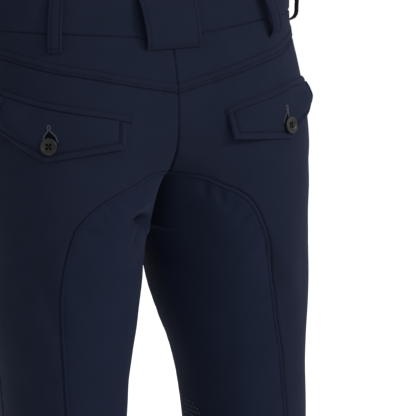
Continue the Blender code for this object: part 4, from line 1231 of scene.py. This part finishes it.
def build_flap(side_name):
    """The flap, with a groove along its border.  Gives its base points and their normals."""
    z_bottom = welt_line("z_bottom", side_name)
    ends = column(WELT, WELT_COLUMNS, "along")[[0, -1]]
    edge_along, edge_z = flap_edge(side_name)
    across = fractions_for(edge_along[-1] - edge_along[0], 0.0016)
    bottom_along = edge_along[0] + (edge_along[-1] - edge_along[0]) * across
    tip = edge_along[np.argmin(edge_z)]
    bottom_along[np.argmin(np.abs(bottom_along - tip))] = tip
    top_along = FLAP_TOP_START[side_name] + (ends[1] - FLAP_TOP_START[side_name]) * across
    down = fractions_for(0.036, 0.0013)[:, None]
    bottom = np.interp(bottom_along, edge_along, edge_z)
    run = top_along * (1 - down) + bottom_along * down
    z = (z_bottom(top_along) - FLAP_TOP_GAP) * (1 - down) + bottom * down
    g = g_along(run, z)
    points, normal = half_surface(g, z), normals_at(g, z)
    lift = REST_GAP + pocket_stand(run, z, side_name)
    base = points + normal * lift[..., None]
    free = np.concatenate([base[:, 0], base[-1], base[::-1, -1]])
    away, place = nearest(base, free)
    height = -0.0008 * np.exp(-((away / 0.0009) ** 2))
    nick = 0.80 + 0.20 * np.cos(place * 2 * math.pi / STITCH_PITCH)
    height -= FLAP_GROOVE * nick * np.exp(-(((away - FLAP_BORDER) / 0.0014) ** 2))
    height += 0.0008 * smooth_step(away / 0.0015) * smooth_step((FLAP_BORDER - 0.0006 - away) / 0.0022)
    height += PUCKER_DEPTH * uneven(place, 4.0) * np.exp(-((away / 0.006) ** 2)) * smooth_step(away / 0.001)
    # The button pulls the cloth in round its shank
    from_button = np.hypot(run - FLAP_BUTTON_ALONG[side_name], z - FLAP_BUTTON_Z)
    height -= 0.0009 * np.exp(-((from_button / 0.010) ** 2))
    outer = points + normal * (lift + FLAP_WALL + height)[..., None]
    inner = points + normal * (lift + np.minimum(height, 0) * 0.3)[..., None]
    side = SIDES[side_name]
    made = slab(f"pocket_flap_{side_name}_cloth", mirrored(outer, side), mirrored(inner, side), CLOTH)
    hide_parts(f"pocket_flap_{side_name}")
    SURFACES[f"pocket_flap_{side_name}"] = (made, side)
    return base, normal


FLAP_GRIDS = {}
for name in SIDES:
    build_welt(name)
    FLAP_GRIDS[name] = build_flap(name)


# ------------------------------------------------------------------ stitches
def tree_of(made):
    mesh = made.data
    points = np.empty(len(mesh.vertices) * 3)
    mesh.vertices.foreach_get("co", points)
    faces = [tuple(p.vertices) for p in mesh.polygons]
    return BVHTree.FromPolygons(points.reshape(-1, 3).tolist(), faces)


def even_points(line, pitch, trim=0.002):
    """Points along a line a pitch apart, with the direction at each."""
    run = np.concatenate([[0], np.cumsum(np.linalg.norm(np.diff(line, axis=0), axis=1))])
    count = max(1, int((run[-1] - 2 * trim) / pitch))
    at = trim + (np.arange(count) + 0.5) * (run[-1] - 2 * trim) / count
    places = np.stack([np.interp(at, run, line[:, k]) for k in range(3)], axis=-1)
    ahead = np.stack([np.interp(at + 0.0006, run, line[:, k]) for k in range(3)], axis=-1)
    behind = np.stack([np.interp(at - 0.0006, run, line[:, k]) for k in range(3)], axis=-1)
    tangent = ahead - behind
    tangent /= np.maximum(np.linalg.norm(tangent, axis=1, keepdims=True), 1e-9)
    return places, tangent


STITCH_SIDES = 6
STITCH_RINGS = ((-0.50, 0.45), (-0.34, 0.92), (0.0, 1.0), (0.34, 0.92), (0.50, 0.45))


def stitch_template():
    points, faces = [], []
    for along, fat in STITCH_RINGS:
        for k in range(STITCH_SIDES):
            angle = 2 * math.pi * k / STITCH_SIDES
            points.append((along * STITCH_LENGTH, math.cos(angle) * fat * STITCH_RADIUS,
                           math.sin(angle) * fat * STITCH_RADIUS))
    rings = len(STITCH_RINGS)
    for i in range(rings - 1):
        for k in range(STITCH_SIDES):
            n = (k + 1) % STITCH_SIDES
            faces.append((i * STITCH_SIDES + k, i * STITCH_SIDES + n, (i + 1) * STITCH_SIDES + n))
            faces.append((i * STITCH_SIDES + k, (i + 1) * STITCH_SIDES + n, (i + 1) * STITCH_SIDES + k))
    start, end = len(points), len(points) + 1
    points += [(-0.56 * STITCH_LENGTH, 0, 0), (0.56 * STITCH_LENGTH, 0, 0)]
    for k in range(STITCH_SIDES):
        n = (k + 1) % STITCH_SIDES
        faces.append((start, n, k))
        faces.append((end, (rings - 1) * STITCH_SIDES + k, (rings - 1) * STITCH_SIDES + n))
    return np.array(points), np.array(faces)


STITCH_POINTS, STITCH_FACES = stitch_template()


class Sewing:
    """Collects stitches, and makes one mesh of them."""

    def __init__(self):
        self.points, self.faces, self.count = [], [], 0

    def add(self, place, tangent, normal, long=1.0, fat=1.0):
        tangent = tangent - normal * float(tangent @ normal)
        tangent = tangent / max(np.linalg.norm(tangent), 1e-9)
        across = np.cross(normal, tangent)
        frame_of = np.stack([tangent * long, across * fat, normal * fat])
        self.points.append(STITCH_POINTS @ frame_of + place)
        self.faces.append(STITCH_FACES + self.count * len(STITCH_POINTS))
        self.count += 1

    def row(self, made, line, outward, pitch=STITCH_PITCH, long=1.0, fat=1.0, trim=0.002):
        """A row of stitches laid on a piece of cloth along a line near its face."""
        tree = tree_of(made) if not isinstance(made, BVHTree) else made
        places, tangents = even_points(line, pitch, trim)
        for place, tangent in zip(places, tangents):
            out = outward(place)
            hit, normal, _, _ = tree.ray_cast(Vector(place + out * 0.008), Vector(-out), 0.020)
            if hit is None:
                continue
            normal = np.array(normal)
            if normal @ out < 0:
                normal = -normal
            self.add(np.array(hit) + normal * STITCH_RADIUS * 0.35, tangent, normal, long, fat)

    def make(self, name, material=None):
        return joined(name, np.concatenate(self.points), np.concatenate(self.faces), material or THREAD)


def offset_line(line, offset, towards, side):
    """A seam's line moved along the surface by an offset, towards a point of the panel's middle."""
    g, z = line[:, 0], line[:, 1]
    keep = slice(None, None, 4)
    points, normal = half_surface(g, z)[keep], normals_at(g, z)[keep]
    tangent = np.gradient(points, axis=0)
    tangent /= np.maximum(np.linalg.norm(tangent, axis=1, keepdims=True), 1e-9)
    inward = np.cross(normal, tangent)
    if ((towards - points) * inward).sum() < 0:
        inward = -inward
    return mirrored(points + inward * offset, side), mirrored(normal, side)


def outward_from(points, normals):
    tree = KDTree(len(points))
    for index, point in enumerate(points.tolist()):
        tree.insert(point, index)
    tree.balance()
    return lambda place: normals[tree.find(place)[1]]


def sew_panels():
    for name, side in SIDES.items():
        sewing = Sewing()
        trees = {}
        for node, line, offset in STITCH_ROWS:
            if not node.endswith(name):
                continue
            made = SURFACES[node][0]
            tree = trees.setdefault(node, tree_of(made))
            middle = mirrored(np.array([v.co for v in made.data.vertices][:: 97]).mean(axis=0), side)
            moved, normals = offset_line(line, offset, middle, side)
            sewing.row(tree, moved, outward_from(moved, normals))
        # Hem
        g = np.linspace(2.3, -1.7, 500)
        z = np.full(500, HEM_Z + HEM_TURN)
        points, normals = mirrored(half_surface(g, z), side), mirrored(normals_at(g, z), side)
        for node in ("seat", "back", "front"):
            made = SURFACES[f"{node}_{name}"][0]
            sewing.row(
                trees.setdefault(f"{node}_{name}", tree_of(made)), points, outward_from(points, normals)
            )
        sewing.make(f"stitches_{name}")


FLY_WIDTH = 0.034
FLY_BOTTOM_Z = -0.128


def sew_fly():
    """The fly's curved row, on the front that laps over."""
    sewing = Sewing()
    t = np.linspace(0, 1, 160)
    z = band_seam(-2.0) - 0.001 + (FLY_BOTTOM_Z - band_seam(-2.0)) * t
    bend = smooth_step((t - 0.72) / 0.28)
    x = FLY_WIDTH * np.sqrt(np.maximum(1 - bend**2, 0)) + 0.002
    for shift in (0.0, 0.0060):
        points = half_surface(g_at_x(np.maximum(x - shift, 0.0012), z, centre=-2), z)
        normals = normals_at(g_at_x(np.maximum(x - shift, 0.0012), z, centre=-2), z)
        sewing.row(SURFACES["front_left"][0], points, outward_from(points, normals))
    sewing.make("stitches_fly")


def sew_band_and_loops():
    sewing = Sewing()
    z_up = BAND_HEIGHT - 0.0030
    g = np.linspace(-2, 2, 500)
    points, normals = half_surface(g, band_seam(g) + z_up), normals_at(g, band_seam(g) + z_up)
    tree = tree_of(WAISTBAND)
    for side in SIDES.values():
        moved, turned = mirrored(points, side), mirrored(normals, side)
        sewing.row(tree, moved, outward_from(moved, turned))

    def strip(node, shape, rows_at, side, bars=(0.93, 0.05)):
        tree_here = tree_of(SURFACES[node][0])
        for edge in (-1, 1):
            for offset in rows_at:
                across = np.array([edge * (1 - offset / shape[1][0])])
                p, n, lift = loop_grid(*shape[:5], across, *shape[5:])
                line = mirrored((p + n * (lift + LOOP_WALL)[..., None])[:, 0], side)
                sewing.row(tree_here, line, outward_from(line, mirrored(n[:, 0], side)), trim=0.0035)
        # Bars across the ends
        for share in bars:
            across = np.linspace(-0.80, 0.80, 24)
            p, n, lift = loop_grid(*shape[:5], across, *shape[5:])
            row = int(np.argmin(np.abs(LOOP_DOWN - share)))
            line = mirrored((p + n * (lift + LOOP_WALL)[..., None])[row], side)
            sewing.row(
                tree_here, line, outward_from(line, mirrored(n[row], side)), 0.0016, 0.55, 1.25, 0.0005
            )

    strip("loop_center_back", PATCH_SHAPE, PATCH_ROWS_AT, 1, (0.05,))
    for node, (shape, side) in LOOP_SHAPES.items():
        strip(node, shape, LOOP_ROWS_AT, side)
    sewing.make("stitches_waist")


def sew_pockets():
    for name, side in SIDES.items():
        base, normal = FLAP_GRIDS[name]
        rows, columns = base.shape[:2]
        sewing = Sewing()
        tree = tree_of(SURFACES[f"pocket_flap_{name}"][0])
        # The row runs down one end, along the lower edge and up the other end
        free = np.concatenate([base[:, 0], base[-1, 1:], base[-2::-1, -1]])
        out = np.concatenate([normal[:, 0], normal[-1, 1:], normal[-2::-1, -1]])
        middle = base[rows // 2, columns // 2]
        tangent = np.gradient(free, axis=0)
        tangent /= np.maximum(np.linalg.norm(tangent, axis=1, keepdims=True), 1e-9)
        inward = np.cross(out, tangent)
        if ((middle - free) * inward).sum() < 0:
            inward = -inward
        moved = free + inward * FLAP_BORDER
        away, _ = nearest(moved, free)
        inside = away > FLAP_BORDER * 0.93
        moved, turned = moved[inside], out[inside]
        moved, turned = mirrored(moved, side), mirrored(turned, side)
        sewing.row(tree, moved, outward_from(moved, turned), trim=0.0005)
        # Bar tacks at the ends of the welt
        welt_tree = tree_of(SURFACES[f"pocket_welt_{name}"][0])
        ends = column(WELT, WELT_COLUMNS, "along")[[0, -1]]
        for along in (ends[0] + 0.0018, ends[1] - 0.0018):
            z = np.linspace(
                float(welt_line("z_top", name)(along)) - 0.0006,
                float(welt_line("z_bottom", name)(along)) + 0.0006,
                12,
            )
            g = g_along(np.full(12, along), z)
            line, turned = mirrored(half_surface(g, z), side), mirrored(normals_at(g, z), side)
            sewing.row(welt_tree, line, outward_from(line, turned), 0.0009, 0.9, 1.2, 0.0)
        sewing.make(f"stitches_pocket_{name}")


sew_panels()
sew_fly()
sew_band_and_loops()
sew_pockets()


# ------------------------------------------------------------------ buttons
def lathe(profile, steps):
    points, faces = [], []
    for radius, z in profile:
        for k in range(steps):
            angle = 2 * math.pi * k / steps
            points.append((radius * math.cos(angle), radius * math.sin(angle), z))
    for i in range(len(profile) - 1):
        for k in range(steps):
            n = (k + 1) % steps
            faces.append((i * steps + k, i * steps + n, (i + 1) * steps + n, (i + 1) * steps + k))
    return points, faces


def frame_at(along, z, side, lift):
    g = g_along(along, z)
    normal = Vector(mirrored(normals_at(g, z), side))
    place = Vector(mirrored(half_surface(g, z), side)) + normal * lift
    return Matrix.Translation(place) @ normal.to_track_quat("Z", "Y").to_matrix().to_4x4()


def build_button(node, place):
    """A turned button with a raised rim and a dished face, four holes and its crossed thread."""
    rim, thick, radius = BUTTON_RIM, BUTTON_THICKNESS, BUTTON_RADIUS - BUTTON_TRIM
    dish = thick * 0.30
    profile = [
        (0.00005, thick - dish * 1.1), (0.0020, thick - dish * 1.1), (radius - rim * 2.5, thick - dish),
        (radius - rim * 2.0, thick - dish * 0.9), (radius - rim * 1.6, thick - dish * 0.45),
        (radius - rim * 1.3, thick - dish * 0.12), (radius - rim * 0.9, thick), (radius - rim * 0.5, thick * 0.985),
        (radius - rim * 0.2, thick * 0.92), (radius - rim * 0.03, thick * 0.80), (radius, thick * 0.64),
        (radius - rim * 0.12, thick * 0.46), (radius - rim * 0.5, thick * 0.26), (radius - rim * 1.2, thick * 0.08),
        (radius - rim * 2.2, 0.0), (0.00005, 0.0),
    ]
    points, faces = lathe(profile, 56)
    mesh = bpy.data.meshes.new(f"{node}_disc")
    mesh.from_pydata(points, [], faces)
    shape = bmesh.new()
    shape.from_mesh(mesh)
    bmesh.ops.remove_doubles(shape, verts=shape.verts, dist=0.0002 * 0.6)
    bmesh.ops.holes_fill(shape, edges=shape.edges)
    bmesh.ops.recalc_face_normals(shape, faces=shape.faces)
    shape.to_mesh(mesh)
    shape.free()
    disc = bpy.data.objects.new(f"{node}_disc", mesh)
    bpy.context.scene.collection.objects.link(disc)
    drill = bmesh.new()
    for corner in range(4):
        angle = math.pi / 4 + corner * math.pi / 2
        offset = Vector((math.cos(angle), math.sin(angle), 0)) * BUTTON_HOLE_OFFSET
        bmesh.ops.create_cone(
            drill, cap_ends=True, segments=20, radius1=BUTTON_HOLE_RADIUS, radius2=BUTTON_HOLE_RADIUS,
            depth=thick * 3, matrix=Matrix.Translation(offset + Vector((0, 0, thick / 2))),
        )
    drill_mesh = bpy.data.meshes.new(f"{node}_drill")
    drill.to_mesh(drill_mesh)
    drill.free()
    cutter = bpy.data.objects.new(f"{node}_drill", drill_mesh)
    bpy.context.scene.collection.objects.link(cutter)
    cut = disc.modifiers.new("holes", "BOOLEAN")
    cut.operation = "DIFFERENCE"
    cut.solver = "EXACT"
    cut.object = cutter
    disc.matrix_world = cutter.matrix_world = place
    bpy.context.view_layer.update()
    final = bpy.data.meshes.new_from_object(disc.evaluated_get(bpy.context.evaluated_depsgraph_get()))
    final.transform(place)
    disc.modifiers.clear()
    disc.data = final
    disc.matrix_world = Matrix.Identity(4)
    bpy.data.objects.remove(cutter)
    disc.data.materials.clear()
    disc.data.materials.append(BUTTON_PLASTIC)
    disc.data.shade_smooth()
    disc.data.set_sharp_from_angle(angle=math.radians(38))
    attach(disc, "root")
    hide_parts(node)

    # Two crossed bars of thread between the holes, and the shank below
    sewing = Sewing()
    turn = np.array(place.to_3x3())
    origin = np.array(place.translation)
    half = BUTTON_HOLE_OFFSET
    for across in (1, -1):
        direction = np.array([math.cos(math.pi / 4), across * math.sin(math.pi / 4), 0])
        for step in (-1, 0, 1):
            sideways = np.array([-direction[1], direction[0], 0]) * 0.00030 * step
            high = thick - dish * 1.1 + 0.0001 + (0.00022 if across < 0 else 0)
            here = turn @ (sideways + np.array([0, 0, high])) + origin
            sewing.add(here, turn @ direction, turn @ np.array([0, 0, 1.0]), half * 2.25 / STITCH_LENGTH, 0.8)
    for k in range(10):
        angle = 2 * math.pi * k / 10
        around = np.array([math.cos(angle), math.sin(angle), 0])
        here = turn @ (around * 0.0016 + np.array([0, 0, -0.0004])) + origin
        sewing.add(here, turn @ np.array([-around[1], around[0], 0.0]), turn @ around, 0.45, 1.6)
    sewing.make(f"{node}_thread", BUTTON_THREAD)
    return disc


for name, side in SIDES.items():
    stand = float(pocket_stand(FLAP_BUTTON_ALONG[name], FLAP_BUTTON_Z, name)) + REST_GAP * 2 + FLAP_WALL
    build_button(f"button_flap_{name}", frame_at(FLAP_BUTTON_ALONG[name], FLAP_BUTTON_Z, side, stand))
TAB_MIDDLE = -1.45
tab_z = float(band_seam(-2.0)) + BAND_HEIGHT / 2
tab_out = Vector(mirrored(normals_at(TAB_MIDDLE, tab_z), -1))
tab_place = Vector(mirrored(half_surface(TAB_MIDDLE, tab_z), -1)) + tab_out * (TAB_LIFT + REST_GAP)
build_button(
    "waist_button", Matrix.Translation(tab_place) @ tab_out.to_track_quat("Z", "Y").to_matrix().to_4x4()
)

# The underlap keeps its solid, with the cloth's material
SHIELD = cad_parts["fly_shield"]
SHIELD.data.materials.clear()
SHIELD.data.materials.append(CLOTH)

# ------------------------------------------------------------------ knee grip
GRIP_TOP, GRIP_BOTTOM = -0.398, -0.665
GRIP_STEP = 0.0052
GRIP_RADIUS = 0.0008


def build_grip():
    """Rows of small silicone dots inside the knees."""
    for name, side in SIDES.items():
        tree = tree_of(SURFACES[f"seat_{name}"][0])
        points, faces, count = [], [], 0
        rows = int((GRIP_TOP - GRIP_BOTTOM) / (GRIP_STEP * 0.866))
        for i in range(rows):
            z = GRIP_TOP - i * GRIP_STEP * 0.866
            t = (GRIP_TOP - z) / (GRIP_TOP - GRIP_BOTTOM)
            reach = math.sqrt(max(0.0, 1 - (2 * t - 1) ** 2)) ** 0.8
            ring_g = np.linspace(1.35, 2.25, 200)
            ring = half_surface(ring_g, np.full(200, z))
            run = np.concatenate([[0], np.cumsum(np.linalg.norm(np.diff(ring, axis=0), axis=1))])
            middle = np.interp(1.93, ring_g, run)
            low, high = middle - 0.036 * reach, min(middle + 0.026 * reach, run[-1])
            first = math.ceil((low - (GRIP_STEP / 2 if i % 2 else 0)) / GRIP_STEP)
            at = first * GRIP_STEP + (GRIP_STEP / 2 if i % 2 else 0)
            while at < high:
                g = float(np.interp(at, run, ring_g))
                place = mirrored(half_surface(g, z), side)
                out = mirrored(normals_at(g, z), side)
                hit, normal, _, _ = tree.ray_cast(Vector(place + out * 0.006), Vector(-out), 0.012)
                at += GRIP_STEP
                if hit is None:
                    continue
                normal = Vector(normal) if Vector(normal).dot(Vector(out)) > 0 else -Vector(normal)
                turn = normal.to_track_quat("Z", "Y").to_matrix()
                base = len(points)
                for radius, high_at in ((1.0, -0.00010), (0.92, 0.00022), (0.55, 0.00042)):
                    for k in range(8):
                        angle = math.pi * k / 4
                        local = Vector((math.cos(angle), math.sin(angle), 0)) * GRIP_RADIUS * radius
                        points.append(tuple(hit + turn @ (local + Vector((0, 0, high_at)))))
                points.append(tuple(hit + normal * 0.00047))
                points.append(tuple(hit - normal * 0.00012))
                for r in range(2):
                    for k in range(8):
                        n = (k + 1) % 8
                        faces.append(
                            (base + r * 8 + k, base + r * 8 + n, base + (r + 1) * 8 + n, base + (r + 1) * 8 + k)
                        )
                faces += [(base + 16 + k, base + 16 + (k + 1) % 8, base + 24) for k in range(8)]
                faces += [(base + (k + 1) % 8, base + k, base + 25) for k in range(8)]
                count += 1
        mesh = bpy.data.meshes.new(f"knee_grip_{name}")
        mesh.from_pydata(points, [], faces)
        mesh.materials.append(GRIP_PRINT)
        mesh.shade_smooth()
        made = bpy.data.objects.new(f"knee_grip_{name}", mesh)
        bpy.context.scene.collection.objects.link(made)
        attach(made, "root")


build_grip()


# ------------------------------------------------------------------ buttonholes
BUTTONHOLE_COLUMNS = "above near far"    # above the button, and to each side of the slit
BUTTONHOLES = {
    "left": (
        (0.0192, -0.0005, 0.0005),
        (0.0180, -0.0013, 0.0013),
        (0.0166, -0.0012, 0.0012),
        (0.0152, -0.0006, 0.0006),
        (0.0138, -0.0014, 0.0014),
        (0.0118, -0.0036, 0.0034),
        (0.0095, -0.0056, 0.0052),
        (0.0065, -0.0068, 0.0062),
        (0.0040, -0.0072, 0.0064),
    ),
    "right": (
        (0.0192, -0.0005, 0.0005),
        (0.0180, -0.0013, 0.0012),
        (0.0166, -0.0012, 0.0011),
        (0.0152, -0.0006, 0.0006),
        (0.0128, -0.0008, 0.0008),
        (0.0105, -0.0022, 0.0010),
        (0.0080, -0.0044, 0.0012),
        (0.0055, -0.0060, 0.0012),
        (0.0030, -0.0066, 0.0010),
    ),
}
BUTTONHOLE_SHIFT = -0.0010


def build_buttonhole(name, side):
    """A keyhole buttonhole that its button pulls open: a sewn rim of lighter thread, a painted highlight, round a
    dark sheet of painted shade laid on the flap where the opening is.
    """
    tree = tree_of(SURFACES[f"pocket_flap_{name}"][0])
    above, near, far = (
        column(BUTTONHOLES[name], BUTTONHOLE_COLUMNS, part) for part in ("above", "near", "far")
    )
    down = np.linspace(above[0], above[-1], 31)
    low, high = (np.interp(-down, -above, edge) for edge in (near, far))
    across = np.linspace(0, 1, 7)
    along = FLAP_BUTTON_ALONG[name] + BUTTONHOLE_SHIFT + low[:, None] + (high - low)[:, None] * across
    z = np.broadcast_to((FLAP_BUTTON_Z + down)[:, None], along.shape)
    g = g_along(along, z)
    places, normals = mirrored(half_surface(g, z), side), mirrored(normals_at(g, z), side)
    laid = places.copy()
    for index in np.ndindex(z.shape):
        out = normals[index]
        hit = tree.ray_cast(Vector(places[index] + out * 0.015), Vector(-out), 0.03)[0]
        if hit is not None:
            laid[index] = hit
    # A near-black sheet on the flap's face where the keyhole gapes: painted shade, since no hole is cut in the flap
    slab(f"buttonhole_{name}_painted_shade_sheet", laid + normals * 0.00018, laid - normals * 0.0006, PAINTED_SHADE_CLOTH)
    # Rim of close stitches, in a light thread whose colour is a painted highlight along the rim
    sewing = Sewing()
    ring = np.concatenate([laid[::-1, 0], laid[0, 1:-1], laid[:, -1]])
    places, tangents = even_points(ring, 0.00062, 0.0)
    outward = outward_from(laid.reshape(-1, 3), normals.reshape(-1, 3))
    for place, tangent in zip(places, tangents):
        out = outward(place)
        sewing.add(place + out * 0.00030, np.cross(out, tangent), out, 0.60, 1.3)
    sewing.make(f"buttonhole_{name}_rim", HIGHLIGHT_RIM_THREAD)


# Thread much lighter than the navy sewing thread: the buttonhole rim is real thread, and its light colour is a
# painted highlight
HIGHLIGHT_RIM_THREAD = thread_material("buttonhole_thread_painted_highlight", (0.030, 0.034, 0.046), 0.05)
# Near-black cloth for the buttonhole's sheet of painted shade
PAINTED_SHADE_CLOTH = cloth_material("shadowed_cloth", (0.0015, 0.0018, 0.003), (0.002, 0.0024, 0.004), 0.9, 0.0, 0.2)
for name, side in SIDES.items():
    build_buttonhole(name, side)


# ------------------------------------------------------------------ floor, light and camera
FLOOR_Z = -0.960


def build_stage():
    mesh = bpy.data.meshes.new("floor")
    size = 30.0
    mesh.from_pydata([(-size, -size, FLOOR_Z), (size, -size, FLOOR_Z), (size, size, FLOOR_Z), (-size, size, FLOOR_Z)],
                     [], [(0, 1, 2, 3)])
    floor = bpy.data.objects.new("floor", mesh)
    bpy.context.scene.collection.objects.link(floor)
    material, _, _, shader = node_material("pale_floor")
    shader.inputs["Base Color"].default_value = (0.95, 0.95, 0.95, 1)
    shader.inputs["Roughness"].default_value = 0.9
    shader.inputs["Specular IOR Level"].default_value = 0.0
    mesh.materials.append(material)


def area_light(name, place, target, size, power, colour=(1, 1, 1)):
    data = bpy.data.lights.new(name, "AREA")
    data.shape = "RECTANGLE"
    data.size, data.size_y = size
    data.energy = power
    data.color = colour
    lamp = bpy.data.objects.new(name, data)
    bpy.context.scene.collection.objects.link(lamp)
    lamp.location = place
    lamp.rotation_mode = "QUATERNION"
    lamp.rotation_quaternion = (Vector(target) - Vector(place)).to_track_quat("-Z", "Y")


def build_light():
    world = bpy.data.worlds.new("studio")
    bpy.context.scene.world = world
    world.use_nodes = True
    world.node_tree.nodes["Background"].inputs["Color"].default_value = (1, 1, 1, 1)
    world.node_tree.nodes["Background"].inputs["Strength"].default_value = 1.06
    area_light("key", (-1.9, 2.2, 1.3), (0, 0, -0.15), (0.9, 0.9), 70)
    area_light("fill", (-0.6, 2.8, 1.3), (0, 0, -0.15), (1.4, 1.4), 36)
    scene = bpy.context.scene
    scene.view_settings.view_transform = "Standard"
    scene.view_settings.look = "None"


def build_camera():
    """The photo is taken from behind and to the wearer's left, a little above the hips."""
    azimuth, elevation, distance, roll = (math.radians(159.5), math.radians(10.5), 2.3, math.radians(2.1))
    target, pixels, at_pixel = Vector((0, 0, -0.2)), 416.0, (140.0, 204.0)
    away = Vector((math.sin(azimuth) * math.cos(elevation), -math.cos(azimuth) * math.cos(elevation),
                   math.sin(elevation)))
    forward = -away
    right = forward.cross(Vector((0, 0, 1))).normalized()
    up = right.cross(forward)
    right, up = (right * math.cos(roll) - up * math.sin(roll), up * math.cos(roll) + right * math.sin(roll))
    focal = 2300.0                       # in pixels of the photo
    # Turned so that the target lies left of the middle
    centre = (
        forward + right * ((pixels / 2 - at_pixel[0]) / focal) - up * ((pixels / 2 - at_pixel[1]) / focal)
    )
    forward = centre.normalized()
    right = (right - forward * right.dot(forward)).normalized()
    up = right.cross(forward)
    data = bpy.data.cameras.new("camera")
    data.sensor_width = 36.0
    data.lens = focal / pixels * 36.0
    data.clip_start, data.clip_end = 0.1, 200
    camera = bpy.data.objects.new("camera", data)
    bpy.context.scene.collection.objects.link(camera)
    place = target + away * distance
    camera.matrix_world = Matrix((
        (right.x, up.x, -forward.x, place.x),
        (right.y, up.y, -forward.y, place.y),
        (right.z, up.z, -forward.z, place.z),
        (0, 0, 0, 1),
    ))
    bpy.context.scene.camera = camera


build_stage()
build_light()
build_camera()
